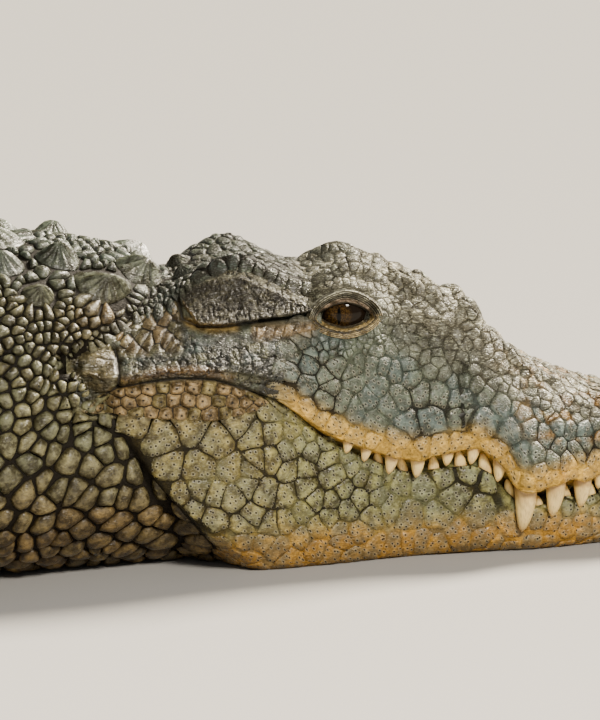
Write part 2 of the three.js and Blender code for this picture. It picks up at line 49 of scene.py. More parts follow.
SNOUT_X = 1.36
TOTAL_LENGTH = 3.52
JAW_SETBACK = 0.010
BEND_1 = (1.70, 1.50)       # start and radius of the tail's bend to the left
BEND_2 = (2.48, 1.05)       # and of the bend back to the right
SNOUT_ROUND = 0.022         # how long the rounding of the snout tip is
TAIL_ROUND = 0.02           # and of the tail tip
FLOOR_GAP = 0.0008
SCUTE_ROW = 0.062
TAIL_START = 1.76
WHORLS = 36
CREST_MERGE = 2.52
EYE = (0.3455, 0.0535, 0.2255)
EYE_RADIUS = 0.0235
SIDES = (("right", -1), ("left", 1))
rng = np.random.default_rng(41)


def cubic(start, end, start_slope, end_slope, k, gap=1):
    """A cubic that goes from start at k = 0 to end at k = 1, with slopes given per unit of gap."""
    u = 1 - k
    return (start * u * u * (1 + 2 * k) + end * k * k * (3 - 2 * k)
            + gap * (start_slope * k * u * u - end_slope * k * k * u))


def curve(*rows):
    """A smooth curve through rows (place, value) in millimetres, as a function in metres: cubic pieces
    whose slope is the harmonic mean of the two rises beside a row, or 0 where they differ in sign."""
    place, value = np.array(rows, float).T / 1000
    rise = np.diff(value) / np.diff(place)
    pair = rise[1:] * rise[:-1]
    mean = 2 * pair / np.where(pair > 0, rise[1:] + rise[:-1], 1)
    slope = np.concatenate([rise[:1], np.where(pair > 0, mean, 0), rise[-1:]])

    def at(s):
        s = np.clip(s, place[0], place[-1])
        i = np.clip(np.searchsorted(place, s, side="right") - 1, 0, len(rise) - 1)
        gap = place[i + 1] - place[i]
        return cubic(value[i], value[i + 1], slope[i], slope[i + 1], (s - place[i]) / gap, gap)
    return at


lip_half = curve((0, 16), (12, 42), (34, 57), (58, 53), (76, 47), (104, 60), (140, 77), (178, 86), (204, 81),
                 (232, 80), (282, 92), (362, 108), (440, 121), (540, 137), (598, 118))
lip_height = curve((0, 78), (34, 66), (76, 84), (104, 70), (124, 65), (136, 68), (150, 65), (179, 62),
                   (203, 85), (227, 99), (252, 97), (282, 94), (330, 107), (362, 121), (426, 163), (500, 177),
                   (598, 168))
crown_height = curve((0, 90), (12, 110), (32, 126), (60, 131), (94, 144), (152, 163), (183, 177), (214, 204),
                     (247, 229), (290, 243), (345, 246), (410, 260), (470, 262), (520, 240), (598, 200))
ridge_half = curve((0, 10), (30, 36), (94, 38), (152, 44), (214, 42), (282, 42), (320, 43), (345, 45),
                   (376, 60), (440, 64), (480, 60), (540, 56), (598, 60))
ridge_height = curve((0, 88), (30, 121), (94, 138), (152, 157), (200, 196), (230, 223), (262, 241),
                     (290, 252), (318, 268), (342, 275), (360, 268), (380, 258), (445, 281), (476, 268),
                     (520, 238), (598, 200))
brow_half = curve((0, 13), (30, 50), (94, 50), (152, 66), (214, 62), (282, 62), (318, 67), (345, 71),
                  (376, 72), (445, 80), (500, 92), (598, 96))
brow_height = curve((0, 84), (30, 108), (94, 122), (152, 134), (214, 168), (282, 206), (318, 240), (345, 249),
                    (376, 240), (445, 242), (500, 228), (598, 198))
cheek_half = curve((0, 15), (30, 57), (94, 57), (152, 79), (180, 85), (214, 80), (282, 86), (346, 99),
                   (445, 124), (540, 139), (598, 116))
cheek_height = curve((0, 80), (30, 92), (94, 100), (152, 102), (200, 120), (282, 145), (346, 165), (445, 190),
                     (560, 187), (598, 182))
lip_drop = curve((0, 20), (60, 22), (130, 22), (200, 19), (260, 16), (330, 10), (426, 0.6), (598, 0.6))
lower_lip_half = curve((10, 18), (26, 35), (60, 38), (100, 48), (178, 70), (260, 74), (340, 92), (440, 118),
                       (540, 137), (598, 116))
jaw_half = curve((10, 17), (26, 36), (60, 42), (178, 72), (260, 79), (340, 98), (440, 124), (540, 136),
                 (598, 114))
jaw_flat = curve((10, 9), (30, 28), (100, 44), (178, 62), (260, 70), (440, 106), (598, 98))
body_half = curve((460, 113), (520, 128), (560, 142), (600, 157), (650, 180), (760, 200), (900, 222),
                  (1100, 262), (1300, 282), (1500, 262), (1660, 205), (1800, 140), (1950, 112), (2300, 82),
                  (2700, 52), (3100, 30), (3400, 14), (3520, 4))
body_top = curve((460, 236), (517, 268), (560, 280), (600, 287), (650, 292), (900, 307), (1150, 326),
                 (1350, 333), (1600, 321), (1800, 272), (1950, 243), (2300, 203), (2700, 162), (3100, 110),
                 (3400, 56), (3520, 20))
waist_height = curve((460, 120), (650, 128), (900, 130), (1350, 112), (1700, 108), (2000, 95), (2700, 66),
                     (3520, 9))
crest_height = curve((880, 9), (1000, 12), (1600, 12), (1800, 18), (2520, 38), (2800, 44), (3200, 36),
                     (3520, 10))


def blend(low, high, x):
    """0 below low and 1 above high, with a smooth rise 3k²−2k³ between them."""
    k = np.clip((x - low) / (high - low), 0, 1)
    return k * k * (3 - 2 * k)


def spine(s):
    """Place and heading of the spine at s: straight, then an arc to the left, then an arc to the right.
    Along an arc of radius r the heading h grows by length / r, x by r·Δsin h and y by −r·Δcos h."""
    one = np.clip(s, BEND_1[0], BEND_2[0]) - BEND_1[0]
    two = np.maximum(s, BEND_2[0]) - BEND_2[0]
    h1 = one / BEND_1[1]
    h2 = h1 - two / BEND_2[1]
    back = np.minimum(s, BEND_1[0]) + BEND_1[1] * np.sin(h1) - BEND_2[1] * (np.sin(h2) - np.sin(h1))
    left = BEND_1[1] * (1 - np.cos(h1)) - BEND_2[1] * (np.cos(h1) - np.cos(h2))
    return SNOUT_X - back, left, h2


def place(s, y, z):
    """Row-frame points at s along the spine, y to the animal's left and z above the floor."""
    x, left, h = spine(s)
    return np.stack(np.broadcast_arrays(x + y * np.sin(h), left + y * np.cos(h), z), -1)


def unit(a):
    """Vectors divided by their lengths."""
    return a / np.maximum(np.linalg.norm(a, axis=-1, keepdims=True), 1e-12)


def mottle(points, size, seed=0):
    """Smooth random values from 0 to 1: a lattice of random numbers one size apart, blended along the
    three axes with 3k²−2k³."""
    q = points / size + seed * 7.31
    cell = np.floor(q).astype(np.int64)
    f = q - cell
    f = f * f * (3 - 2 * f)
    total = np.zeros(q.shape[:-1])
    for corner in range(8):
        bit = np.array([corner & 1, corner >> 1 & 1, corner >> 2])
        c = cell + bit
        mixed = (c[..., 0] * 73856093) ^ (c[..., 1] * 19349663) ^ (c[..., 2] * 83492791)
        value = (mixed * 2654435761 % 4294967296) / 4294967296
        total += value * np.prod(np.where(bit == 1, f, 1 - f), axis=-1)
    return total


# ---- the hide's grid ----

V_HEAD = np.array([0, 0.15, 0.20, 0.34, 0.455, 0.475, 0.50, 0.53, 0.55, 0.60, 0.70, 0.81, 0.90, 1.0])
SHARP_CORNERS = (4, 8, 12)  # lower lip, upper lip and ridge


def head_half(s, v):
    """Half of a head section, t and z over (s, v): cubic pieces through the corners of throat, jaw wall,
    lower lip, gum, upper lip, cheek, brow, ridge and crown, with each corner's slope taken from its two
    neighbours."""
    lip, top = lip_height(s), lip_height(s) + 0.013
    low = lip - lip_drop(s)
    wall, jaw, upper = lower_lip_half(s), jaw_half(s), lip_half(s)
    open_mouth = np.clip(lip_drop(s) / 0.016, 0.12, 1)
    gum = np.minimum(wall, upper) - 0.011 * open_mouth
    zero = np.zeros_like(s)
    t = [zero, jaw_flat(s), 0.96 * jaw, jaw, wall, wall - 0.004 * open_mouth, gum, upper - 0.007 * open_mouth,
         upper, upper + 0.0015, cheek_half(s), brow_half(s), ridge_half(s), zero]
    z = [zero, zero, 0.12 * low, 0.5 * low, low, low + 0.0005, (low + lip) / 2, lip + 0.001, lip + 0.0015,
         top, cheek_height(s), brow_height(s), ridge_height(s), crown_height(s)]
    knots = np.stack([np.stack(t), np.stack(z)], -1)                     # corner, ring, (t, z)
    gap = np.diff(V_HEAD)[:, None, None]
    rise = np.diff(knots, axis=0) / gap
    slope = np.concatenate([rise[:1], (rise[1:] * gap[:-1] + rise[:-1] * gap[1:]) / (gap[1:] + gap[:-1]),
                            rise[-1:]])
    slope[:2, :, 1] = slope[-1, :, 1] = 0
    slope[list(SHARP_CORNERS)] *= 0.45
    i = np.clip(np.searchsorted(V_HEAD, v, side="right") - 1, 0, len(V_HEAD) - 2)
    k = ((v - V_HEAD[i]) / np.diff(V_HEAD)[i])[:, None, None]
    points = cubic(knots[i], knots[i + 1], slope[i], slope[i + 1], k, gap[i])
    return points[..., 0].T, points[..., 1].T


V_FLAT, V_WAIST, ROUND, BODY_LIFT = 0.15, 0.45, 2.3, 1.06


def body_half_section(s, q):
    """Half of a neck, trunk or tail section over s and q, which runs from 0 at the belly's middle to 1 at
    the crown: flat on the floor to V_FLAT, then the lower and upper quarters of a superellipse of power
    ROUND that meet at the waist."""
    wide, top, waist = body_half(s)[:, None], body_top(s)[:, None], waist_height(s)[:, None]
    edge = math.asin((1 / BODY_LIFT) ** (ROUND / 2))
    rising = np.clip((q - V_WAIST) / (1 - V_WAIST), 0, 1) * math.pi / 2
    falling = np.clip((V_WAIST - q) / (V_WAIST - V_FLAT), 0, 1) * edge
    angle = np.where(q > V_WAIST, rising, falling)
    share = np.cos(angle) ** (2 / ROUND) * np.clip(q / V_FLAT, 0, 1)
    up = np.sin(angle) ** (2 / ROUND)
    z = np.where(q > V_WAIST, waist + (top - waist) * up, np.maximum(waist * (1 - BODY_LIFT * up), 0))
    return wide * share, z


# where the head ends and the neck begins, as s over v: up the jowl's slanted margin, round the jaw joint
# and forward to the back of the skull table
margin = curve((0, 445), (160, 458), (220, 475), (360, 535), (470, 588), (555, 596), (700, 585), (820, 545),
               (900, 512), (1000, 500))


def matched_places(v):
    """Where on the first neck section each head column goes on, so that columns cross the margin at one
    height: the place whose share of the height is the head's there."""
    s = margin(v)
    head_z = np.array([head_half(s[k:k + 1], v[k:k + 1])[1][0, 0] for k in range(len(v))])
    q = np.linspace(V_FLAT, 1, 400)
    neck_s = np.array([0.59])
    neck_z = body_half_section(neck_s, q[None])[1][0]
    share = np.maximum.accumulate(head_z / head_z[-1])
    found = np.interp(share, neck_z / neck_z[-1], q)
    return np.where(v < V_FLAT, v, np.maximum(found, V_FLAT + (v - V_FLAT) * 0.2))


def base_section(s, v):
    """t and z of the plain hide over (s, v): head before the margin, neck and body after it."""
    head_t, head_z = head_half(s, v)
    settled = blend(0.58, 0.98, s)[:, None]
    body_t, body_z = body_half_section(s, matched_places(v) * (1 - settled) + v * settled)
    width = 0.008 + 0.03 * blend(0.75, 0.9, v) + 0.03 * (1 - blend(0.12, 0.34, v))
    share = blend(-1, 1, (s[:, None] - margin(v)) / width)
    return head_t * (1 - share) + body_t * share, head_z * (1 - share) + body_z * share


def spread(start, end, step):
    """Places from start to end whose distance apart follows the curve step: equal steps of the running
    sum of 1 / step."""
    fine = np.linspace(start, end, 6000)
    total = np.concatenate([[0], np.cumsum(np.diff(fine) / step((fine[1:] + fine[:-1]) / 2))])
    return np.interp(np.linspace(0, total[-1], int(round(total[-1])) + 1), total, fine)


ring_step = curve((0, 1.4), (30, 2.4), (290, 2.7), (318, 1.7), (372, 1.7), (400, 2.6), (600, 3.2), (680, 6.5),
                  (900, 11), (1700, 12), (2600, 16), (3520, 18))
column_step = curve((0, 26), (150, 24), (200, 14), (430, 13), (460, 6), (480, 5), (560, 5.5), (600, 8),
                    (700, 9), (720, 7), (900, 7.5), (940, 12), (1000, 16))
RINGS = spread(0, TOTAL_LENGTH, ring_step)
HALF_COLUMNS = spread(0, 1, column_step)


def near(points, at, radius):
    """A bell exp(−d²) where d is the distance from a place, measured in radii along each axis."""
    return np.exp(-sum(((p - a) / r) ** 2 for p, a, r in zip(points, at, radius)))


def along(s, z, line, width):
    """A bell across a broken line in the (s, z) plane: exp(−(d / width)²) for the distance d to it."""
    line = np.array(line) / 1000
    nearest = np.full(np.broadcast(s, z).shape, 1e9)
    for (s0, z0), (s1, z1) in zip(line[:-1], line[1:]):
        ds, dz = s1 - s0, z1 - z0
        k = np.clip(((s - s0) * ds + (z - z0) * dz) / (ds * ds + dz * dz), 0, 1)
        nearest = np.minimum(nearest, (s - s0 - k * ds) ** 2 + (z - z0 - k * dz) ** 2)
    return np.exp(-nearest / width ** 2)


LID = dict(s=0.3462, z=0.2238, half=0.0224, up=0.0130, down=0.0080, power=1.55)


def lid_gap(s, z):
    """The distance out from the edge of the eye's opening, a superellipse with a taller upper half:
    the distance from its middle times (1 − 1 / ratio), where ratio is 1 on the edge."""
    ds, dz = s - LID["s"], z - LID["z"]
    high = np.where(dz > 0, LID["up"], LID["down"])
    p = LID["power"]
    ratio = (np.abs(ds / LID["half"]) ** p + np.abs(dz / high) ** p) ** (1 / p)
    return np.hypot(ds, dz) * (1 - 1 / np.maximum(ratio, 0.02))


# teeth and bumps of the head as s in metres, or s and t, and the height in millimetres
UPPER_BULGES = ((0.150, 4), (0.123, 4), (0.203, 1.5), (0.281, 5), (0.252, 2), (0.305, 3), (0.104, 3),
                (0.329, 2))
LOWER_BULGES = ((0.192, 2.5), (0.215, 3.5), (0.238, 3), (0.264, 2.5), (0.137, 3), (0.112, 2.5))
SNOUT_BUMPS = ((0.262, 0.040, 6), (0.283, 0.044, 6), (0.300, 0.040, 5), (0.252, 0.024, 5), (0.272, 0.022, 4),
               (0.205, 0.030, 4), (0.190, 0.044, 4), (0.170, 0.030, 3), (0.150, 0.046, 3), (0.130, 0.026, 3),
               (0.216, 0.052, 4), (0.240, 0.056, 4))
# folds in front of and over the eye as the height, the line through (s, z) and the width
HEAD_FOLDS = ((0.004, [(289, 234), (272, 226), (255, 216)], 0.007),
              (-0.006, [(300, 205), (290, 214), (272, 208)], 0.009),
              (0.005, [(325, 247), (346, 252), (368, 246)], 0.0055),
              (-0.004, [(325, 258), (350, 261), (372, 254)], 0.006))


def head_relief(s, v, t, z, socket):
    """How far the hide stands out from the plain head, in metres: bells and folds at the head's landmarks."""
    side, upper, lip = blend(0.56, 0.60, v), blend(0.86, 0.90, v), blend(0.53, 0.56, v)
    out = 0.010 * near((s, z), (0.179, 0.078), (0.017, 0.020)) * lip       # over the longest tooth
    for tooth_s, high in UPPER_BULGES:
        out += high / 1000 * near((s, z), (tooth_s, lip_height(tooth_s) + 0.010), (0.009, 0.014)) * lip
    for tooth_s, high in LOWER_BULGES:
        low = lip_height(tooth_s) - lip_drop(tooth_s) - 0.008
        out += high / 1000 * near((s, z), (tooth_s, low), (0.010, 0.012)) * (1 - blend(0.455, 0.475, v))
    out += 0.009 * near((s, t), (0.228, 0.036), (0.012, 0.011)) * upper
    out -= 0.003 * near((s, t), (0.243, 0.036), (0.005, 0.016)) * upper
    for bump_s, bump_t, high in SNOUT_BUMPS:
        out += high / 1000 * near((s, t), (bump_s, bump_t), (0.0075, 0.0075)) * upper
    rugged = np.stack([s * 1.0 + 0.5 * z, 2.2 * (z - 0.5 * s), t * 1.4], -1)
    rough = (mottle(rugged, 0.020, 12) + 0.6 * mottle(rugged, 0.010, 13) - 0.8) * blend(0.68, 0.86, v)
    out += 0.0045 * rough * (1 - blend(0.30, 0.36, s)) * blend(0.01, 0.05, s)
    out += 0.0022 * (mottle(np.stack([s, z, t], -1), 0.013, 14) - 0.5) * blend(0.56, 0.7, v)
    out += 0.0030 * (mottle(np.stack([s, z, t], -1), 0.045, 15) - 0.5) * (1 - blend(0.45, 0.5, v))
    for high, line, width in HEAD_FOLDS:
        out += high * along(s, z, line, width) * side
    out -= socket * 0.021 * (1 - blend(-0.002, 0.0115, lid_gap(s, z))) * side
    out += 0.010 * near((s, t), (0.032, 0.018), (0.016, 0.018)) * upper                       # nostril mound
    out -= 0.012 * near((s, t), (0.030, 0.017), (0.009, 0.0035)) * upper
    out -= 0.003 * along(s, z, [(238, 176), (239, 150), (238, 120)], 0.003) * side
    return out


def body_relief(s, v, t, z):
    """How far the hide stands out from the plain neck and trunk: the margin's crease, the neck's slanting
    folds, wrinkles behind the limbs and the muscles over shoulder and hip."""
    gap = s - margin(v)
    crease = np.exp(-((gap - 0.006) / 0.007) ** 2) * (1 - blend(0.72, 0.82, v)) * blend(0.18, 0.36, v)
    out = -0.007 * crease
    lean = s + 0.45 * (z - 0.08)
    for fold_s, depth, width in ((0.625, 5, 0.006), (0.660, 4, 0.007), (0.715, 5, 0.009), (0.790, 4, 0.011),
                                 (0.850, 4, 0.010)):
        reach = blend(0.15, 0.25, v) * (1 - blend(0.6, 0.75, v))
        out -= depth / 1000 * np.exp(-((lean - fold_s) / width) ** 2) * reach
    out += 0.016 * near((s, z), (0.905, 0.150), (0.085, 0.075)) * (gap > 0)
    out += 0.020 * near((s, z), (1.665, 0.150), (0.095, 0.080))
    waves = np.sin(s * 41) * 0.5 + np.sin(s * 67 + 1)
    out += (0.004 * waves * blend(0.9, 1.1, s) * (1 - blend(1.5, 1.7, s)) * blend(0.3, 0.45, v)
            * (1 - blend(0.7, 0.8, v)))
    return out


def grid_normals(points):
    """Unit normals of a grid that wraps round in its second direction: the cross product of the steps
    along and round it."""
    step_i = np.gradient(points, axis=0)
    step_j = (np.roll(points, -1, 1) - np.roll(points, 1, 1)) / 2
    return unit(np.cross(step_j, step_i))


def hide_surface(socket=1.0):
    """The hide as a grid of rings over s and columns over v, right half then left half. Near the snout tip
    rings close onto the middle plane as a quarter circle, and bow back above and below the lips. arc is
    the distance down from the crown along a ring, and lie the place as s and the distance from the lip."""
    s, v = RINGS, HALF_COLUMNS
    t, z = base_section(s, v)
    s2, v2 = s[:, None] + 0 * t, v[None, :] + 0 * t
    tight = np.sqrt(np.clip(1 - (1 - np.clip(s / SNOUT_ROUND, 0, 1)) ** 2, 0, 1))[:, None]
    past = np.clip((s - TOTAL_LENGTH + TAIL_ROUND) / TAIL_ROUND, 0, 1)
    t = t * tight * np.sqrt(np.clip(1 - past ** 2, 0, 1))[:, None]
    lips = lip_height(0.0)
    bow = np.where(z > lips, 0.014 * ((z - lips) / 0.045) ** 2, 0.045 * ((lips - z) / lips) ** 3)
    bow += JAW_SETBACK * (1 - blend(0.49, 0.52, v2))
    s2 = s2 + bow * np.exp(-(s2 / 0.035) ** 2)
    order = np.concatenate([np.arange(len(v)), np.arange(len(v) - 2, 0, -1)])
    side = np.concatenate([-np.ones(len(v)), np.ones(len(v) - 2)])
    t, z, s2, v2 = t[:, order], z[:, order], s2[:, order], v2[:, order]
    plain = place(s2, side * t, z)
    normals = grid_normals(plain)
    normals[:2] = unit(normals[:2] + np.array([1.0, 0, 0]))
    on_head = 1 - blend(-0.004, 0.012, s2 - margin(v2))
    rise = head_relief(s2, v2, t, z, socket) * on_head + body_relief(s2, v2, t, z)
    rise = rise * blend(0.001, 0.02, s2)
    points = plain + normals * rise[..., None]
    points[..., 2] = np.maximum(points[..., 2], FLOOR_GAP)
    points[0, :, 1] = points[0, 0, 1]
    plain_step = np.linalg.norm(np.diff(plain[:, :len(v)], axis=1), axis=-1)
    from_lip = np.concatenate([np.zeros((len(s), 1)), np.cumsum(plain_step, 1)], 1)
    from_lip -= from_lip[:, np.searchsorted(v, 0.5)][:, None]
    lie = np.stack([s2 + 3 * (side > 0), from_lip[:, order], 0 * s2], -1)
    step_down = np.linalg.norm(np.diff(points[:, :len(v)], axis=1), axis=-1)[:, ::-1]
    arc = np.concatenate([np.zeros((len(s), 1)), np.cumsum(step_down, 1)], 1)[:, ::-1][:, order]
    return dict(points=points, normals=grid_normals(points), s=s2, v=v2, side=np.tile(side, (len(s), 1)),
                z=points[..., 2], t=t, arc=arc, lie=lie)


def grid_faces(rows, columns, index=None):
    """Four-cornered faces of a grid that wraps round in its second direction."""
    index = np.arange(rows * columns).reshape(rows, columns) if index is None else index
    nxt = np.roll(index, -1, 1)
    return np.stack([index[:-1], index[1:], nxt[1:], nxt[:-1]], -1).reshape(-1, 4)


def copies(count, size, *faces):
    """Arrays of faces repeated for count pieces of size points each."""
    start = (np.arange(count) * size)[:, None, None]
    return [(f[None] + start).reshape(-1, f.shape[1]) for f in faces]


def closed_tubes(count, rows, columns):
    """Faces of count tubes of rows and columns of points, each closed by a flat face at both ends."""
    index = np.arange(rows * columns).reshape(rows, columns)
    return copies(count, rows * columns, grid_faces(rows, columns), np.stack([index[0], index[-1][::-1]]))


def linked(name, data):
    """A new object in the scene that shows some data."""
    obj = bpy.data.objects.new(name, data)
    bpy.context.scene.collection.objects.link(obj)
    return obj


def mesh_object(name, points, faces, values=None, uv=None, material=None):
    """A mesh object from an array of points and a list of arrays of faces, one for each number of corners.
    values holds attributes by name, three or four values for each point, and uv two for each point."""
    mesh = bpy.data.meshes.new(name)
    mesh.vertices.add(len(points))
    mesh.vertices.foreach_set("co", np.asarray(points, np.float32).ravel())
    corners = np.concatenate([f.ravel() for f in faces]).astype(np.int32)
    totals = np.concatenate([np.full(len(f), f.shape[1]) for f in faces]).astype(np.int32)
    mesh.loops.add(len(corners))
    mesh.loops.foreach_set("vertex_index", corners)
    mesh.polygons.add(len(totals))
    mesh.polygons.foreach_set("loop_start", np.concatenate([[0], np.cumsum(totals)[:-1]]).astype(np.int32))
    mesh.polygons.foreach_set("loop_total", totals)
    mesh.update(calc_edges=True)
    mesh.polygons.foreach_set("use_smooth", np.ones(len(totals), bool))
    for key, value in (values or {}).items():
        kind, field = ("FLOAT_COLOR", "color") if value.shape[-1] == 4 else ("FLOAT_VECTOR", "vector")
        layer = mesh.attributes.new(key, kind, "POINT")
        layer.data.foreach_set(field, np.asarray(value, np.float32).ravel())
    if uv is not None:
        layer = mesh.uv_layers.new(name="OFBake")
        layer.data.foreach_set("uv", np.asarray(uv, np.float32)[corners].ravel())
    if material:
        mesh.materials.append(material)
    return linked(name, mesh)


# ---- markings ----

def rgb(r, g, b):
    """A linear colour from an sRGB one of 0 to 255."""
    c = np.array([r, g, b]) / 255
    return np.where(c < 0.04045, c / 12.92, ((c + 0.055) / 1.055) ** 2.4)


OLIVE = rgb(154, 153, 101)
JAW_TAN = rgb(164, 147, 88)
OCHRE = rgb(214, 157, 60)
LIP_CREAM = rgb(232, 188, 92)
SLATE = rgb(102, 112, 102)
PALE_GREY = rgb(216, 214, 200)
EAR_DARK = rgb(80, 78, 64)
CHEEK_GREY = rgb(46, 50, 44)
CHEEK_BLUE = rgb(76, 92, 96)
FOLD_TAN = rgb(150, 128, 98)
BEAD = rgb(128, 127, 101)
BEAD_DARK = rgb(74, 74, 62)
EARTH = rgb(122, 92, 44)
NUCHAL = rgb(78, 87, 80)
BACK_DARK = rgb(80, 80, 65)
FLANK = rgb(122, 114, 82)
BELLY = rgb(186, 168, 120)
LID_CREAM = rgb(212, 182, 118)
BLUE_PATCH = rgb(92, 110, 116)
PLATE_TAN = rgb(184, 160, 124)
KNOB_GREY = rgb(160, 150, 122)
BEAD_TAN = rgb(168, 152, 112)
LID_PINK = rgb(190, 146, 120)
IVORY = rgb(230, 202, 132)
GUM_STAIN = rgb(146, 104, 50)
TIP_STAIN = rgb(166, 124, 70)


def mix(colour, *layers):
    """A colour under layers of (colour, share): each moves it towards its own by a share at each place."""
    for other, share in layers:
        share = np.clip(share, 0, 1)[..., None]
        colour = colour * (1 - share) + other * share
    return colour


def with_relief(colour, relief):
    """Colours held from 0 to 1, with the strength of the fine wrinkles, in relief and in the painted shade of
    their creases, as their fourth value.
    """
    relief = np.broadcast_to(relief, colour.shape[:-1])[..., None]
    return np.concatenate([np.clip(colour, 0, 1), relief], -1)


def in_rows(values):
    """A grid of vectors as one list of them."""
    return values.reshape(-1, values.shape[-1])


def hide_paint(s, v, z, points):
    """The hide's colour and roughness of relief: region colours mixed by smooth steps along s, v and z, with
    blotches that break their edges. The fourth value is the strength of the fine wrinkles, in relief and in the
    painted shade of their creases."""
    blot = mottle(points, 0.030, 1) * 0.6 + mottle(points, 0.011, 2) * 0.4
    fine = mottle(points, 0.006, 3)
    wobble = (blot - 0.5) * 2
    head = 1 - blend(-0.01, 0.012, s - margin(v))
    jaw = 1 - blend(0.49, 0.51, v)
    lip = (1 - blend(0.012, 0.030, z - lip_height(s) + wobble * 0.006)) * (1 - jaw)
    lip = lip * (1 - blend(0.385, 0.430, s))
    snout_top = blend(0.76, 0.86, v + wobble * 0.03) * (1 - blend(0.31, 0.37, s))
    specks = blend(0.60, 0.68, mottle(points, 0.007, 7)) * blend(0.66, 0.74, v) * (1 - blend(0.10, 0.24, s))
    table = blend(0.86, 0.90, v) * blend(0.30, 0.34, s)
    brow = near((s, z), (0.345, 0.250), (0.040, 0.022)) * (v > 0.6)
    cheek = near((s, z), (0.470, 0.203), (0.075, 0.022)) * (1 - jaw)
    ear = near((s, z), (0.440, 0.245), (0.055, 0.017)) * (v > 0.6)
    plain = np.zeros(s.shape + (3,))
    colour = mix(
        plain + SLATE, (OLIVE, jaw),
        (BLUE_PATCH, (1 - jaw) * blend(0.48, 0.66, mottle(points, 0.024, 8)) * 0.7),
        (JAW_TAN, jaw * blend(0.36, 0.46, s) * 0.7),
        (OCHRE, jaw * (1 - blend(0.018, 0.050, z + wobble * 0.010)) * 0.9),
        (SLATE * 1.12, jaw * blend(0.52, 0.75, fine + blot * 0.3) * 0.55),
        (LIP_CREAM, lip),
        (OCHRE, lip * blend(0.55, 0.75, blot) * 0.6),
        (PALE_GREY, (1 - jaw) * (1 - lip) * snout_top * 0.85),
        (OCHRE, (1 - jaw) * specks * 0.8),
        (NUCHAL, table * 0.8),
        (PALE_GREY * 0.85, brow * 0.8),
        (CHEEK_GREY, cheek * 0.8),
        (EAR_DARK, ear * 1.3),
        (LID_CREAM, along(s, z, [(490, 226), (470, 221), (448, 221)], 0.0035) * 0.8),
        (FOLD_TAN, near((s, z), (0.505, 0.163), (0.070, 0.015)) * 0.9),
        (OCHRE * 0.8, near((s, z), (0.548, 0.181), (0.010, 0.010)) * 0.7),
        (FOLD_TAN, along(s, z, [(380, 216), (425, 214)], 0.006) * 0.8),
        (LIP_CREAM * 0.9, near((s, z), (0.574, 0.187), (0.020, 0.018)) * 0.6))
    bands = blend(0.1, 0.7, np.sin(s * 2 * np.pi / 0.19 + 1.5 * wobble)) * blend(0.35, 0.6, v)
    body = mix(
        plain + FLANK, (BACK_DARK, blend(0.60, 0.85, v + wobble * 0.06) * 0.9),
        (BACK_DARK * 0.7, bands * blend(0.45, 0.6, blot + 0.1) * 0.8),
        (BELLY, (1 - blend(0.22, 0.36, v + wobble * 0.03)) * 0.9))
    colour = mix(
        plain + BEAD, (BEAD_DARK, blend(0.17, 0.23, z + wobble * 0.02) * 0.6),
        (FOLD_TAN * 0.75, near((s, z), (0.560, 0.235), (0.035, 0.020)) * 0.6),
        (EARTH, (1 - blend(0.05, 0.13, z + wobble * 0.02)) * 0.65),
        (body, blend(0.75, 1.0, s)),
        (NUCHAL, blend(0.80, 0.88, v) * (1 - blend(0.8, 1.1, s)) * 0.9),
        (colour, head))
    colour *= (0.80 + 0.40 * blot)[..., None]
    relief = 0.35 + 0.6 * blend(0.74, 0.84, v) * head * (1 - table * 0.4) + 0.5 * ear
    relief -= 0.25 * near((s, z), (0.574, 0.187), (0.022, 0.022))
    return with_relief(colour, np.clip(relief, 0, 1))


# ---- finishes ----

def node(tree, kind, inputs=(), **settings):
    """A shader node with its settings and inputs; an input is a value or the socket that feeds it."""
    made = tree.nodes.new("ShaderNode" + kind)
    for key, value in settings.items():
        setattr(made, key, value)
    for key, value in dict(inputs).items():
        if isinstance(value, bpy.types.NodeSocket):
            tree.links.new(value, made.inputs[key])
        else:
            made.inputs[key].default_value = value
    return made


def node_by(values, kind, inputs, **settings):
    """A node made in the tree that the sockets among some values belong to."""
    tree = next(value.id_data for value in values if isinstance(value, bpy.types.NodeSocket))
    return node(tree, kind, inputs, **settings)


def calc(operation, a, b=0.0, clamp=False):
    """The result of one sum on two values."""
    return node_by((a, b), "Math", {0: a, 1: b}, operation=operation, use_clamp=clamp).outputs[0]


def times(a, b):
    """The product of two values."""
    return calc("MULTIPLY", a, b)


def inverse(value):
    """1 less a value."""
    return calc("SUBTRACT", 1.0, value)


def step(value, low, high, to_low=0.0, to_high=1.0):
    """A value's smooth step between two limits."""
    return node_by((value,), "MapRange", {"Value": value, "From Min": low, "From Max": high, "To Min": to_low,
                                       "To Max": to_high}, interpolation_type="SMOOTHSTEP").outputs[0]


def tint(factor, a, b, blend_type="MIX"):
    """Two colours mixed by a factor, each given as a socket or as three numbers."""
    a, b = (c if isinstance(c, bpy.types.NodeSocket) else (*c, 1) for c in (a, b))
    made = node_by((factor, a, b), "Mix", {0: factor, 6: a, 7: b}, data_type="RGBA", blend_type=blend_type)
    return made.outputs[2]


def colour_times(colour, stain):
    """A colour times another: a stain, or a painted shade."""
    return tint(1.0, colour, stain, "MULTIPLY")


def group(name, inputs, outputs):
    """An empty node group with named sockets, given as (name, kind, value)."""
    tree = bpy.data.node_groups.new(name, "ShaderNodeTree")
    for label, kind, value in inputs:
        socket = tree.interface.new_socket(label, in_out="INPUT", socket_type="NodeSocket" + kind)
        if value is not None:
            socket.default_value = value
    for label, kind in outputs:
        tree.interface.new_socket(label, in_out="OUTPUT", socket_type="NodeSocket" + kind)
    return tree, tree.nodes.new("NodeGroupInput").outputs, tree.nodes.new("NodeGroupOutput").inputs


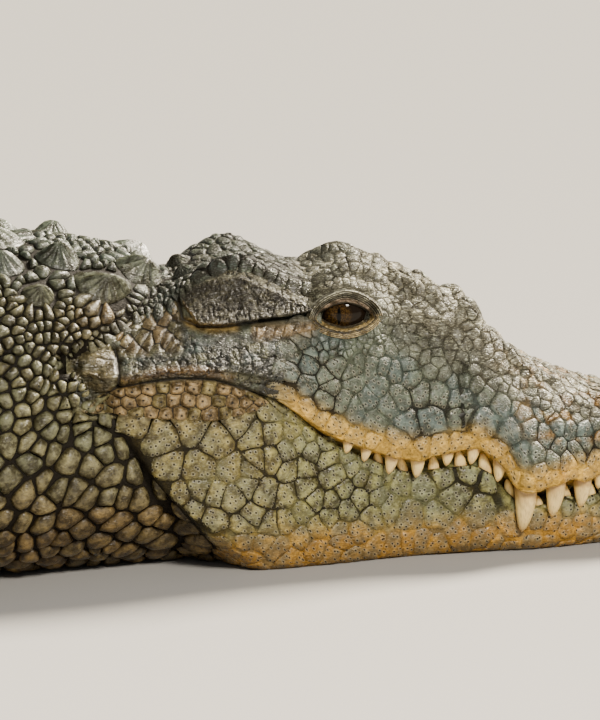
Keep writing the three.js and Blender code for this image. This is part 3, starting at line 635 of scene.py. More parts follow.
def pore_group():
    """Pores: small dark dots, each in a pale ring, spread over the hide at random about one spacing apart."""
    tree, inside, out = group("pores", [("Place", "Vector", None), ("Spacing", "Float", 0.005),
                                        ("Dot", "Float", 0.17), ("Ring", "Float", 0.42)],
                              [("Dot", "Float"), ("Halo", "Float")])
    cells = node(tree, "TexVoronoi", {"Vector": inside["Place"], "Randomness": 0.85,
                                      "Scale": calc("DIVIDE", 1.0, inside["Spacing"])},
                 voronoi_dimensions="2D")
    gap = cells.outputs["Distance"]
    dot, halo = (inverse(step(gap, times(inside[key], 0.6), inside[key]))
                 for key in ("Dot", "Ring"))
    tree.links.new(dot, out["Dot"])
    tree.links.new(calc("SUBTRACT", halo, dot, clamp=True), out["Halo"])
    return tree


def wrinkle_group():
    """Fine wrinkles: crossing ridges of two stretched noises with a finer grain over them."""
    tree, inside, out = group("wrinkles", [("Size", "Float", 0.004)],
                              [("Height", "Float"), ("Grain", "Float")])
    at = node(tree, "TexCoord").outputs["Object"]
    scale = calc("DIVIDE", 1.0, inside["Size"])
    ridges = []
    for turn in (0.5, -0.9):
        turned = node(tree, "Mapping", {"Vector": at, "Rotation": (0.3, turn, 0.2), "Scale": (0.45, 1, 1.25)})
        cloud = node(tree, "TexNoise", {"Vector": turned.outputs[0], "Scale": scale, "Detail": 2.0,
                                        "Roughness": 0.55})
        off = calc("ABSOLUTE", calc("SUBTRACT", cloud.outputs[0], 0.5))
        ridges.append(step(off, 0.0, 0.11))
    grain = node(tree, "TexNoise", {"Vector": at, "Scale": 900.0, "Detail": 1.0, "Roughness": 0.5})
    tree.links.new(times(*ridges), out["Height"])
    tree.links.new(grain.outputs[0], out["Grain"])
    return tree


PORES, WRINKLES = pore_group(), wrinkle_group()
# Multipliers of the paint. The third on this line is painted shade, for the plates' edges.
WET_STAIN, DEEP_STAIN, EDGE_SHADE = (0.72, 0.71, 0.63), (0.30, 0.27, 0.18), (0.30, 0.26, 0.18)
PALE_STAIN, DUST_STAIN = (1.50, 1.48, 1.38), (1.9, 1.9, 1.9)
# The second on this line is painted shade, for the creases of the fine wrinkles.
GRIME, CREASE_SHADE, SEAM_BLACK = (0.020, 0.016, 0.008), (0.014, 0.011, 0.007), (0.006, 0.0045, 0.003)
PORE_RING, PORE_BLACK = (0.44, 0.41, 0.29), (0.004, 0.003, 0.002)


def placed(tree, what, inputs=()):
    """A node group placed in a tree."""
    return node(tree, "Group", inputs, node_tree=what).outputs


def finish_material(name):
    """A new material, its node tree and its shader's inputs."""
    material = bpy.data.materials.new(name)
    material.use_nodes = True
    tree = material.node_tree
    return material, tree, tree.nodes["Principled BSDF"].inputs


def hide_material(name, gloss, calm):
    """Horny plates: painted colour with mottling, dark seams, dark pores in pale rings, fine wrinkles and a wet
    gloss, with painted shade in the wrinkles' creases and towards each plate's edge. In the seams the relief is
    less by the share calm."""
    material, tree, shader = finish_material(name)
    hide, cell, lie = (node(tree, "Attribute", attribute_name=key).outputs for key in ("hide", "cell", "lie"))
    ring, crack_share, field = node(tree, "SeparateColor", {0: cell["Color"]}).outputs
    crack = step(crack_share, 0.0, 0.5)
    relief = hide["Alpha"]
    pores = placed(tree, PORES, {"Place": lie["Vector"], "Spacing": 0.0064, "Dot": 0.165, "Ring": 0.36})
    wrinkles = placed(tree, WRINKLES, {"Size": 0.0036})
    at = node(tree, "TexCoord").outputs["Object"]
    cloud, grey = (node(tree, "TexNoise", {"Vector": at, "Scale": scale, "Detail": 3.0,
                                           "Roughness": rough}).outputs[0]
                   for scale, rough in ((110.0, 0.55), (420.0, 0.6)))
    centre = inverse(step(cell["Alpha"], 0.07, 0.12))
    dark = calc("MAXIMUM", times(pores["Dot"], field), centre)
    worn = calc("ADD", ring, times(calc("SUBTRACT", cloud, 0.5), 0.10))
    seam = calc("MAXIMUM", times(step(worn, 0.93, 1.0), crack), step(ring, 1.05, 1.20))
    even = calc("MAXIMUM", step(cloud, 0.38, 0.56), times(inverse(crack), 0.8))
    soaked = colour_times(hide["Color"], WET_STAIN)
    colour = tint(even, colour_times(soaked, DEEP_STAIN), soaked)
    for share, layer in (
            (step(cloud, 0.52, 0.68), colour_times(soaked, PALE_STAIN)),
            (step(grey, 0.52, 0.74, 0.0, 0.40), colour_times(soaked, DUST_STAIN)),
            (step(grey, 0.48, 0.30, 0.0, 0.50), GRIME)):
        colour = tint(share, colour, layer)
    # Painted shade: each plate darker towards its edge as its ring value nears 1; the skin in the gaps and the
    # face's slab get some of it too.
    shadow = times(step(ring, 0.60, 1.0, 0.0, 0.55), crack)
    colour = tint(shadow, colour, colour_times(colour, EDGE_SHADE))
    # Painted shade: near black in the fine wrinkles' creases, the more so where the relief is strong.
    crease = times(inverse(wrinkles["Height"]), step(relief, 0.0, 1.0, 0.02, 0.80))
    for share, layer in (
            (crease, CREASE_SHADE),
            (times(pores["Halo"], times(field, 0.24)), PORE_RING),
            (times(dark, 0.96), PORE_BLACK),
            (times(seam, 0.96), SEAM_BLACK)):
        colour = tint(share, colour, layer)
    tree.links.new(colour, shader["Base Color"])
    rough = calc("ADD", step(grey, 0.3, 0.7, 0.27, 0.45), times(dark, 0.25))
    tree.links.new(calc("MAXIMUM", rough, times(seam, 0.60)), shader["Roughness"])
    shader["Specular IOR Level"].default_value = gloss
    height = times(wrinkles["Height"], step(relief, 0.0, 1.0, 0.10, 1.3))
    height = calc("ADD", height, times(wrinkles["Grain"], 0.10))
    height = calc("ADD", height, times(cloud, 0.9))
    height = calc("SUBTRACT", height, times(dark, 1.1))
    height = times(height, inverse(times(seam, calm)))
    bump = node(tree, "Bump", {"Height": height, "Strength": 0.8, "Distance": 0.0009})
    tree.links.new(bump.outputs[0], shader["Normal"])
    return material


HIDE = hide_material("hide", 0.36, 0.9)
SKIN = hide_material("skin", 0.10, 0.0)     # duller, so that the gaps between plates stay dark


# ---- roots and plates ----

def sample(grid, i, j):
    """A grid's values at fractional rows i and columns j: straight mixing of the four corners, with the
    columns wrapping round."""
    i = np.clip(i, 0, grid.shape[0] - 1.001)
    i0, j0 = np.floor(i).astype(int), np.floor(j).astype(int)
    a, b = (i - i0)[..., None], (j - j0)[..., None]
    j1, j0 = (j0 + 1) % grid.shape[1], j0 % grid.shape[1]
    return ((grid[i0, j0] * (1 - b) + grid[i0, j1] * b) * (1 - a)
            + (grid[i0 + 1, j0] * (1 - b) + grid[i0 + 1, j1] * b) * a)


def value_at(grid, i, j):
    """The same for a grid of single numbers."""
    return sample(grid[..., None], i, j)[..., 0]


def hide_roots(s, v, side):
    """Grid rows and columns of places given as s, v and side, -1 for the right and 1 for the left."""
    i = np.interp(s, RINGS, np.arange(len(RINGS)))
    j = np.interp(v, HALF_COLUMNS, np.arange(len(HALF_COLUMNS)))
    return i, np.where(np.asarray(side) < 0, j, 2 * (len(HALF_COLUMNS) - 1) - j)


ROOTS_PER_SIZE, PLACES_PER_ROOT = 1.1, 18


def scatter(surface, size, inside, rounds=5):
    """Roots spread over part of a surface about size apart. Random places are drawn as often as
    area / size² asks; then each root moves a few times to the middle of the places nearest to it."""
    points = surface["points"]
    step_i = np.diff(points, axis=0)
    step_j = np.roll(points, -1, 1)[:-1] - points[:-1]
    area = np.linalg.norm(np.cross(step_i, step_j), axis=-1)
    wanted = area * inside[:-1] / size[:-1] ** 2 * ROOTS_PER_SIZE
    total = int(wanted.sum())
    if total < 2:
        return np.zeros(0), np.zeros(0)
    chance = wanted.ravel() / wanted.sum()
    cells = rng.choice(chance.size, total * PLACES_PER_ROOT, p=chance)
    ci = cells // wanted.shape[1] + rng.random(cells.size)
    cj = cells % wanted.shape[1] + rng.random(cells.size)
    spots = sample(points, ci, cj).astype(np.float32)
    roots = spots[rng.choice(len(spots), total, replace=False)]
    for _ in range(rounds):
        owner = nearest(spots, roots, 1)[:, 0]
        count = np.maximum(np.bincount(owner, minlength=total), 1)
        roots = np.stack([np.bincount(owner, spots[:, k], total) / count for k in range(3)], -1)
        roots = roots.astype(np.float32)
    best = nearest(roots, spots, 1)[:, 0]
    return ci[best], cj[best]


def nearest(points, others, count, chunk=3000):
    """Indices of the nearest other of each point, or of the nearest count + 1 of them in any order, by
    the part b² − 2ab of the squared distance."""
    found = []
    square = (others ** 2).sum(-1)
    for start in range(0, len(points), chunk):
        part = points[start:start + chunk]
        gap = square - 2 * part @ others.T
        found.append(gap.argmin(-1)[:, None] if count == 1 else np.argpartition(gap, count)[:, :count + 1])
    return np.concatenate(found)


LOOSE_ROOM = 0.85           # the part of its own room that a loose root keeps clear of a firm one's
NEIGHBOURS = 13


def gather(surface, groups):
    """All the roots of a surface as one set of arrays: place, room, gap, reach, stretch and turn, with the
    number of each root's group and its nearest roots. Roots of a loose group that stand in a firm one's
    room are left out."""
    keys = dict(room=0.01, gap=0.0011, reach=0.02, stretch=1.0, turn=0.0)
    roots = {key: np.concatenate([np.broadcast_to(np.asarray(g.get(key, value), float), g["i"].shape)
                                  for g in groups]) for key, value in keys.items()}
    roots["i"], roots["j"] = (np.concatenate([g[key] for g in groups]) for key in "ij")
    roots["group"] = np.concatenate([np.full(len(g["i"]), k) for k, g in enumerate(groups)])
    firm = np.concatenate([np.full(len(g["i"]), bool(g.get("firm"))) for g in groups])
    at = sample(surface["points"], roots["i"], roots["j"]).astype(np.float32)
    if firm.any():
        closest = nearest(at, at[firm], 1)[:, 0]
        gap = np.linalg.norm(at - at[firm][closest], axis=-1)
        keep = firm | (gap > roots["room"][firm][closest] + LOOSE_ROOM * roots["room"])
        roots = {key: value[keep] for key, value in roots.items()}
        at = at[keep]
    roots["near"] = nearest(at, at, min(NEIGHBOURS, len(at) - 1))
    return roots


EASE = 0.7


def settle(surface, i, j, target, rounds=6):
    """Moves grid places until the surface there is nearest to target points: each round adds EASE times
    the gap to the target, split along the two grid steps by least squares. A full step can swing to and
    fro where the grid is coarse."""
    points = surface["points"]
    for _ in range(rounds):
        gap = target - sample(points, i, j)
        step_i = sample(points, i + 0.5, j) - sample(points, i - 0.5, j)
        step_j = sample(points, i, j + 0.5) - sample(points, i, j - 0.5)
        a11, a12, a22 = ((u * w).sum(-1) for u, w in ((step_i, step_i), (step_i, step_j), (step_j, step_j)))
        b1, b2 = (gap * step_i).sum(-1), (gap * step_j).sum(-1)
        det = np.maximum(a11 * a22 - a12 ** 2, 1e-16)
        i = np.clip(i + EASE * np.clip((b1 * a22 - b2 * a12) / det, -4, 4), 0, len(points) - 1.01)
        j = j + EASE * np.clip((b2 * a11 - b1 * a12) / det, -5, 5)
    return i, j


def cell_outlines(surface, roots, mine, sides, rounding, warp):
    """Outlines of the cells round some of the roots: along each of a few directions, how far it is to the
    line half way to each neighbour less half the gap, joined by a power mean that rounds the corners. The
    line lies nearer to the root with less room, by the difference of the squares. Distances along turn
    are divided by stretch, which makes long cells, and warp bends the lines by random amounts. Returned as
    grid steps (di, dj), as lengths (a, b) in the tangent plane, as the radii before the stretch, and
    whether the cell lies well on the surface."""
    i, j, gap, reach, stretch, turn, room = (
        roots[key][mine][:, None] for key in ("i", "j", "gap", "reach", "stretch", "turn", "room"))
    points = surface["points"]
    near_by = roots["near"][mine]
    own = near_by == np.flatnonzero(mine)[:, None]
    i1, j1 = i[:, 0], j[:, 0]
    root, normal = sample(points, i1, j1), unit(sample(surface["normals"], i1, j1))
    step_i = sample(points, i1 + 0.5, j1) - sample(points, i1 - 0.5, j1)
    step_j = sample(points, i1, j1 + 0.5) - sample(points, i1, j1 - 0.5)
    e1 = unit(step_i - (step_i * normal).sum(-1, keepdims=True) * normal)
    e2 = np.cross(normal, e1)
    c, w = np.cos(turn), np.sin(turn)
    d = sample(points, roots["i"], roots["j"])[near_by] - root[:, None]
    a, b = (d * e1[:, None]).sum(-1), (d * e2[:, None]).sum(-1)
    along_a, across_b = (a * c + b * w) / stretch, -a * w + b * c
    far = np.hypot(along_a, across_b)
    angle = np.linspace(0, 2 * np.pi, sides, endpoint=False)
    toward = along_a[..., None] * np.cos(angle) + across_b[..., None] * np.sin(angle)
    balance = far ** 2 + room ** 2 - roots["room"][near_by] ** 2
    limit = np.maximum(balance - gap * far, 1e-7)[..., None] / 2 / np.maximum(toward, 1e-6)
    inverse = np.where((toward > 1e-6) & ~(own | (far < 1e-5))[..., None], 1 / limit, 0)
    radius = ((inverse ** rounding).sum(1) + (1 / reach) ** rounding) ** (-1 / rounding)
    x, y = radius * np.cos(angle) * stretch, radius * np.sin(angle)
    a, b = x * c - y * w, x * w + y * c
    if warp:
        there = root[:, None] + a[..., None] * e1[:, None] + b[..., None] * e2[:, None]
        a = a + warp * (mottle(there, 2.6 * warp, 21) - 0.5)
        b = b + warp * (mottle(there, 2.6 * warp, 22) - 0.5)
    target = root[:, None] + a[..., None] * e1[:, None] + b[..., None] * e2[:, None]
    m11, m12, m21, m22 = ((u * e).sum(-1)[:, None] for e in (e1, e2) for u in (step_i, step_j))
    det = m11 * m22 - m12 * m21
    near_i, near_j = i + (a * m22 - b * m12) / det, j + (b * m11 - a * m21) / det
    near_i, near_j = settle(surface, near_i, near_j, target)
    missed = np.linalg.norm(sample(points, near_i, near_j) - target, axis=-1) / radius
    facing = (unit(sample(surface["normals"], near_i, near_j)) * normal[:, None]).sum(-1)
    sound = (missed.max(-1) < 0.8) & (facing.min(-1) > -0.3)
    return near_i - i, near_j - j, a, b, radius, sound


def lay_bare(surface, i, j):
    """Lowers the seam value of the skin round roots that got no plate, so that no dark hole is left."""
    rows, columns = surface["seam"].shape
    for di in range(-2, 3):
        for dj in range(-2, 3):
            at = np.clip(np.rint(i + di).astype(int), 0, rows - 1), np.rint(j + dj).astype(int) % columns
            np.minimum.at(surface["seam"], at, 0.90 + 0.02 * max(abs(di), abs(dj)))


BAKE_PATCH = 0.0015
SMALLEST_PLATE = 0.0009


def plates(name, surface, roots, number, height, dome=6.0, keel=0.0, keel_width=0.25, sides=14, rounding=14,
           sink=0.001, pores=0.0, heart=0.0, shares=(1.0, 0.95, 0.6), vary=0.2, warp=0.0, grooves=0,
           lumps=0.0, patch=False, mend=False):
    """One joined mesh of the plates of one group of roots. A plate is its cell's outline drawn in to its
    root in rings; a ring at share r stands height·(1 − r^dome) over the hide, the outermost one sink
    under it. keel adds a crest along the plate, exp(−(b / width)²)·(1 − r²), grooves is how many radiate
    over it and lumps the height of random ones. A cell that doesn't lie well on the hide gets no plate,
    and with patch the skin there is lightened; with mend it gets one, drawn in towards a small circle."""
    mine = roots["group"] == number
    *outline, sound = cell_outlines(surface, roots, mine, sides, rounding, warp)
    radius = outline[-1]
    drawn_in = 0.8 * np.minimum(1, 1.3 * radius.min(-1, keepdims=True) / radius)
    outline = [x * np.where(sound[:, None], 1.0, drawn_in) for x in outline]
    good = (sound | mend) & (outline[-1].min(-1) > SMALLEST_PLATE)
    if patch:
        lay_bare(surface, roots["i"][mine][~good], roots["j"][mine][~good])
    i, j = roots["i"][mine][good][:, None, None], roots["j"][mine][good][:, None, None]
    di, dj, a, b, radius = (x[good][:, None] for x in outline)
    count = len(i)
    height, keel = (np.broadcast_to(np.asarray(x, float), mine.sum())[good][:, None, None]
                    for x in (height, keel))
    size = radius.mean(-1, keepdims=True)
    share = np.array(list(shares) + [0.0])
    ring = np.broadcast_to(share[:, None], (count, len(share), sides))
    ii, jj = i + di * ring, j + dj * ring
    base, normal = sample(surface["points"], ii, jj), unit(sample(surface["normals"], ii, jj))
    flat_a, flat_b = a * ring, b * ring
    crest_width = np.abs(b).max(-1, keepdims=True) * keel_width
    lift = height * (1 - ring ** dome)
    lift = lift + keel * np.exp(-(flat_b / crest_width) ** 2) * (1 - ring ** 2)
    chosen, warm, phase = rng.random((3, count, 1, 1))
    turned = 2 * np.pi * np.arange(sides) / sides
    groove = np.cos(grooves * turned + 6.3 * phase) * np.sin(np.pi * ring) * (grooves > 0)
    lift = lift + 0.2 * height * groove + lumps * (mottle(base, 0.007, 23) - 0.5) * (1 - ring ** 8)
    lift = np.where(ring > 0.999, -sink, lift)
    points = base + normal * lift[..., None]
    points[..., 2] = np.maximum(points[..., 2], FLOOR_GAP / 2)
    spot = rng.uniform(-0.35, 0.35, (2, count, 1, 1)) * size
    to_spot = np.hypot(flat_a - spot[0], flat_b - spot[1])
    even = 0.2 if vary < 0.1 else 0.6      # how much of a plate's colour is that of its root
    at = (x * even + xx * (1 - even) for x, xx in ((i, ii), (j, jj)))
    colour = np.clip(sample(surface["paint"], *at), 0, 1)
    warm = (warm - 0.5) * 0.6 * vary
    # Random tone per plate, and painted light and shade on the radial grooves: lighter on their ridges, darker
    # in their hollows.
    tone_and_groove_shading = (1 - vary + 2 * vary * chosen) * (1 + 0.45 * groove)
    colour[..., :3] *= tone_and_groove_shading[..., None] * np.stack([1 + warm, 1 + 0 * warm, 1 - warm], -1)
    field = pores * value_at(surface["pores"], ii, jj) if pores else 0.0
    crack = value_at(surface["crack"], ii, jj)
    cell = np.stack(np.broadcast_arrays(ring, crack, field, to_spot / 0.01 if heart else 1.0), -1)
    rings = len(share) - 1
    order = np.arange(sides)
    after = np.roll(order, -1)
    quads = np.concatenate([np.stack([order, after, after + sides, order + sides], -1) + k * sides
                            for k in range(rings - 1)])
    last = (rings - 1) * sides
    fan = np.stack([last + order, last + after, np.full(sides, rings * sides)], -1)
    per = rings * sides + 1                # a plate's points: its rings and one in the middle
    faces = copies(count, per, quads, fan, order[::-1][None])
    rows, columns = surface["points"].shape[:2]
    root_uv = np.stack([i / rows, (j % columns) / columns], -1)
    circle = np.stack([np.cos(turned), np.sin(turned)], -1)
    uv = 0.004 + 0.992 * root_uv + BAKE_PATCH * (ring[..., None] + 0.02) * circle
    points, colour, cell, normal, uv, lie = (
        in_rows(x.reshape(count, -1, x.shape[-1])[:, :per])
        for x in (points, colour, cell, normal, uv, sample(surface["lie"], ii, jj)))
    obj = mesh_object(name, points, faces, {"hide": colour, "cell": cell, "lie": lie}, uv, HIDE)
    turn_outward(obj, normal)
    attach(obj, "root")


def turn_outward(obj, normal_at):
    """Flips every face if the faces, on average, look against the given normals at the vertices."""
    mesh = obj.data
    count = len(mesh.polygons)
    facing = np.zeros(count * 3)
    mesh.polygons.foreach_get("normal", facing)
    start = np.zeros(count, np.int32)
    mesh.polygons.foreach_get("loop_start", start)
    total = np.zeros(count, np.int32)
    mesh.polygons.foreach_get("loop_total", total)
    corner = np.zeros(len(mesh.loops), np.int32)
    mesh.loops.foreach_get("vertex_index", corner)
    top = total < 5
    if (facing.reshape(-1, 3)[top] * normal_at[corner[start[top]]]).sum(-1).mean() < 0:
        mesh.flip_normals()


# ---- the side of the head behind the eye ----

FACE_LOW = curve((360, 219), (372, 211), (396, 206), (408, 168), (418, 148), (440, 139), (470, 135),
                 (500, 138), (540, 143), (583, 148), (606, 150))
FACE_HIGH = curve((360, 250), (376, 246), (400, 256), (445, 273), (476, 261), (500, 246), (540, 230),
                  (570, 212), (606, 200))
FOLD_TOP = curve((414, 154), (426, 162), (440, 169), (470, 180), (500, 183), (530, 181), (557, 176),
                 (580, 162))
FOLD_LOW = curve((414, 153), (430, 148), (445, 145), (469, 142), (500, 144), (540, 149), (583, 156))
EAR_SLIT = [(366, 230), (385, 227), (400, 225), (424, 224)]
EAR_FLAP_EDGE = [(424, 224), (456, 221), (480, 222), (494, 228), (497, 244), (480, 263)]
MOUTH_FOLD_TOP = [(416, 155), (426, 162), (440, 169), (470, 180), (500, 183), (530, 181), (557, 176),
                  (580, 160)]
MOUTH_FOLD_LOW = [(416, 154), (430, 148), (445, 145), (469, 141), (500, 144), (540, 150), (583, 156)]
KNOB_FRONT = [(557, 214), (553, 196), (554, 178)]
KNOB_REAR = [(585, 208), (592, 190), (588, 168)]
FACE_RINGS, FACE_COLUMNS, FACE_DEPTH = 230, 128, 0.012


def side_line(bare, s, z):
    """How far out from the middle plane the right side of the head is at (s, z), and v there: straight
    mixing between the rings beside s."""
    columns = np.flatnonzero((HALF_COLUMNS > 0.25) & (HALF_COLUMNS < 0.93))
    rows = np.interp(s, RINGS, np.arange(len(RINGS)))
    depth, v = np.zeros(s.shape), np.zeros(s.shape)
    for r in range(int(rows.min()), int(rows.max()) + 2):
        line = bare["points"][r, columns]
        share = np.clip(1 - np.abs(rows - r), 0, 1)
        high = np.maximum.accumulate(line[:, 2])
        here = share > 0
        depth[here] += share[here] * np.interp(z[here], high, -line[:, 1])
        v[here] += share[here] * np.interp(z[here], high, HALF_COLUMNS[columns])
    return depth, v


def cells_2d(s, z, root_s, root_z, stretch=1.0):
    """The distance to the nearest of some roots, how much farther the second one is, and the number of the
    nearest one."""
    gap = np.hypot((s[..., None] - root_s) / stretch, z[..., None] - root_z)
    owner = gap.argmin(-1)
    two = np.partition(gap, 1, -1)[..., :2]
    return two[..., 0], two[..., 1] - two[..., 0], owner


def ridged(points, size, seed):
    """Crossing creases: 0 where a smooth random field crosses its middle value, rising to 1 beside it."""
    field = mottle(points, size, seed) + 0.35 * mottle(points, size / 2.3, seed + 1)
    return blend(0, 0.09, np.abs(field - 0.675))


def swirled(at, amount, size, seed):
    """Places on the side of the head moved by smooth random amounts along s and z."""
    return at + amount * np.stack([mottle(at, size, seed), mottle(at, size, seed + 1), 0 * at[..., 0]], -1)


def loose_grid(across, down, shake):
    """Places of a grid, each moved at random by up to shake in both directions."""
    return [x.ravel() + rng.uniform(-shake, shake, x.size) for x in np.meshgrid(across, down)]


def face_inside(s, z):
    """1 well inside the side of the head behind the eye and 0 at its border and beyond."""
    edge = np.minimum.reduce([z - FACE_LOW(s), FACE_HIGH(s) - z, s - 0.371, 0.597 - s])
    return blend(0.0005, 0.0075, edge)


def face_roots():
    """Roots of the plates in the mouth's corner, in three rows along the fold."""
    s = np.arange(0.421, 0.584, 0.0132)
    at_s = np.concatenate([s + shift for shift in (0.0, 0.0052, 0.001)])
    at_s = at_s + rng.uniform(-0.0016, 0.0016, len(at_s))
    share = np.repeat([0.17, 0.50, 0.83], len(s)) + rng.uniform(-0.04, 0.04, len(at_s))
    low, high = FOLD_LOW(at_s), FOLD_TOP(at_s)
    return at_s, low + (high - low) * share


def face(bare):
    """The side of the head behind the eye, from ear to mouth corner: a fine closed slab over (s, z) that lies
    on the skin and sinks into it all round. It bears the ear's flap over its slit, the wrinkled crest and
    cheek, the beads of the temple, the knob of the jaw joint and the rows of plates in the mouth's corner."""
    s = np.linspace(0.368, 0.599, FACE_RINGS)[:, None] + np.zeros((1, FACE_COLUMNS))
    z = FACE_LOW(s) - 0.003 + np.linspace(0, 1, FACE_COLUMNS)[None] * (FACE_HIGH(s) - FACE_LOW(s) + 0.006)
    depth, v = side_line(bare, s, z)
    at = np.stack([s, z, 0 * s], -1)
    inside = face_inside(s, z)
    top, low = FOLD_TOP(s), FOLD_LOW(s)

    # the regions, each 1 inside and 0 outside
    lens = (blend(0, 0.0035, np.minimum(top - z, z - low)) * blend(0.415, 0.422, s)
            * (1 - blend(0.580, 0.590, s)))
    knob = near((s, z), (0.571, 0.190), (0.0175, 0.0165))
    bead = near((s, z), (0.577, 0.1635), (0.0060, 0.0055))
    slit, flap_edge = along(s, z, EAR_SLIT, 0.0019), along(s, z, EAR_FLAP_EDGE, 0.0024)
    flap_low = np.interp(s, [0.372, 0.424, 0.456, 0.480, 0.497], [0.2290, 0.2240, 0.2210, 0.2220, 0.2440])
    flap_high = np.interp(s, [0.372, 0.410, 0.440, 0.470, 0.497], [0.2300, 0.2480, 0.2610, 0.2600, 0.2450])
    flap = (blend(-0.0005, 0.0045, np.minimum(z - flap_low, flap_high + 0.004 - z))
            * (1 - blend(0.488, 0.498, s)))
    crest = blend(-0.002, 0.006, z - flap_high) * (1 - blend(0.50, 0.52, s)) * blend(0.368, 0.380, s)
    cheek = ((1 - lens) * (1 - blend(0.494, 0.504, s) * blend(0.198, 0.206, z))
             * blend(0.002, 0.010, flap_low - 0.008 - z) * blend(-0.002, 0.004, z - top))
    temple_tint = (blend(0.490, 0.502, s) * blend(0.198, 0.208, z)
                   * (1 - blend(0.556, 0.562, s) * blend(0.212, 0.204, z)))
    temple = temple_tint * (1 - knob)
    under_ear = near((z,), (0.2165,), (0.0052,)) * blend(0.366, 0.372, s) * (1 - blend(0.430, 0.436, s))

    # their wrinkles, and their plates as the distance in from the nearest border and the plate's number
    flow = swirled(at, 0.004, 0.02, 33)
    flap_wrinkles = ridged(at * [1.9, 0.8, 1], 0.0045, 31)
    crest_wrinkles = ridged(flow * [1.3, 1.0, 1], 0.0058, 35)
    cheek_wrinkles = ridged(flow * [0.55, 1.35, 1], 0.0060, 37)
    fine = ridged(at, 0.0030, 39)
    grain = mottle(at, 0.0013, 41) - 0.5
    root_s, root_z = face_roots()
    bent = swirled(at, 0.003, 0.009, 47)
    near_root, gap, owner = cells_2d(bent[..., 0], bent[..., 1], root_s + 0.0015, root_z + 0.0015, 1.18)
    broad_roots = loose_grid(np.arange(0.37, 0.61, 0.0125), np.arange(0.15, 0.24, 0.011), 0.0042)
    _, broad_gap, broad = cells_2d(flow[..., 0], flow[..., 1], *broad_roots, 1.2)
    crack = 1 - blend(0.0001, 0.0013, broad_gap)
    row_s = np.arange(0.373, 0.436, 0.0088)
    row_z = 0.2165 + 0.0010 * np.sin(np.arange(len(row_s)) * 2.3)
    small_gap = cells_2d(s + 0.35 * (z - 0.2165), z, row_s, row_z, 0.75)[1]
    slant = 0.7071                         # the cosine of 45 degrees
    bead_roots = loose_grid(np.arange(-0.30, -0.17, 0.0125), np.arange(0.48, 0.60, 0.0080), 0.0022)
    _, bead_gap, pebble = cells_2d((z - flow[..., 0]) * slant, (z + s) * slant, *bead_roots, 1.6)

    relief = 0.0011 * inside - 0.0045 * (1 - inside)
    relief += 0.0040 * flap + 0.0020 * flap * (flap_wrinkles - 1) - 0.0090 * slit - 0.0060 * flap_edge
    relief += 0.0022 * near((z - flap_low,), (0.0035,), (0.0022,)) * (s > 0.372) * (1 - blend(0.49, 0.50, s))
    relief += 0.0028 * crest * (crest_wrinkles - 0.7)
    relief += cheek * (0.0019 * (cheek_wrinkles - 1) - 0.0013 * crack * (1 - knob)
                       + 0.0006 * (mottle(at, 0.012, 43) - 0.5))
    relief += 0.0024 * lens + 0.0050 * lens * (blend(0, 0.0062, gap) ** 0.6 - 0.6)
    relief -= 0.0035 * (along(s, z, MOUTH_FOLD_TOP, 0.0016) + along(s, z, MOUTH_FOLD_LOW, 0.0018))
    relief += 0.0022 * along(s, z, [(450, 178), (480, 188), (520, 189), (552, 184)], 0.0036)
    relief += 0.0080 * knob + 0.0055 * bead - 0.0050 * along(s, z, KNOB_FRONT, 0.0026)
    relief -= 0.0030 * along(s, z, KNOB_REAR, 0.0040)
    relief += temple * (0.0040 * blend(0.0, 0.0055, bead_gap) ** 0.6 - 0.0020)
    relief += 0.0024 * under_ear * blend(0.0001, 0.0020, small_gap)
    relief += 0.0005 * grain + 0.0004 * (fine - 1) * (1 - lens)
    t = depth + relief

    blot = mottle(at, 0.009, 45)
    odd_plate = rng.random(len(root_s))[owner] < 0.3
    pebble_tan = rng.random(len(bead_roots[0]))[pebble]
    colour = hide_paint(s, v, z, place(s, -t, z))[..., :3]
    colour = mix(
        colour, (CHEEK_GREY, cheek * inside * 0.9),
        (CHEEK_BLUE, cheek * inside * blend(0.45, 0.7, mottle(flow * [0.6, 1.5, 1], 0.008, 49)) * 0.8),
        (OLIVE, cheek * inside * blend(0.5, 0.8, blot) * 0.2),
        (PLATE_TAN, lens * inside),
        (OLIVE, lens * inside * odd_plate * 0.5),
        (OCHRE * 0.8, inside * along(s, z, [(455, 181), (480, 189), (520, 190), (550, 184)], 0.0040) * 0.3),
        (EAR_DARK, flap * inside),
        (PALE_GREY * 0.8, flap * inside * blend(0.62, 0.8, mottle(at, 0.0035, 50)) * 0.5),
        # Pale on the crest's wrinkle ridges: a painted highlight that goes with the painted shade in their
        # creases.
        (PALE_GREY * 0.9, crest * inside * blend(0.2, 0.9, crest_wrinkles) * 0.85),
        (LID_CREAM * 0.8, inside * near((z - flap_low,), (0.0030,), (0.0017,)) * blend(0.445, 0.465, s)
         * (1 - blend(0.49, 0.50, s)) * 0.8),
        (mix(BEAD * 0.8 * np.ones_like(colour), (FOLD_TAN * 0.8, pebble_tan)), temple_tint * inside * 0.9),
        (FOLD_TAN, under_ear * inside * 0.9),
        (KNOB_GREY, knob * inside * 0.7),
        (BEAD_TAN, bead * inside * 0.8))
    colour *= (1 + 0.35 * grain)[..., None] * (0.88 + 0.24 * rng.random(len(broad_roots[0]))[broad])[..., None]
    hide = with_relief(colour, 0.35 + 0.45 * np.clip(flap + crest, 0, 1) + 0.05 * cheek)
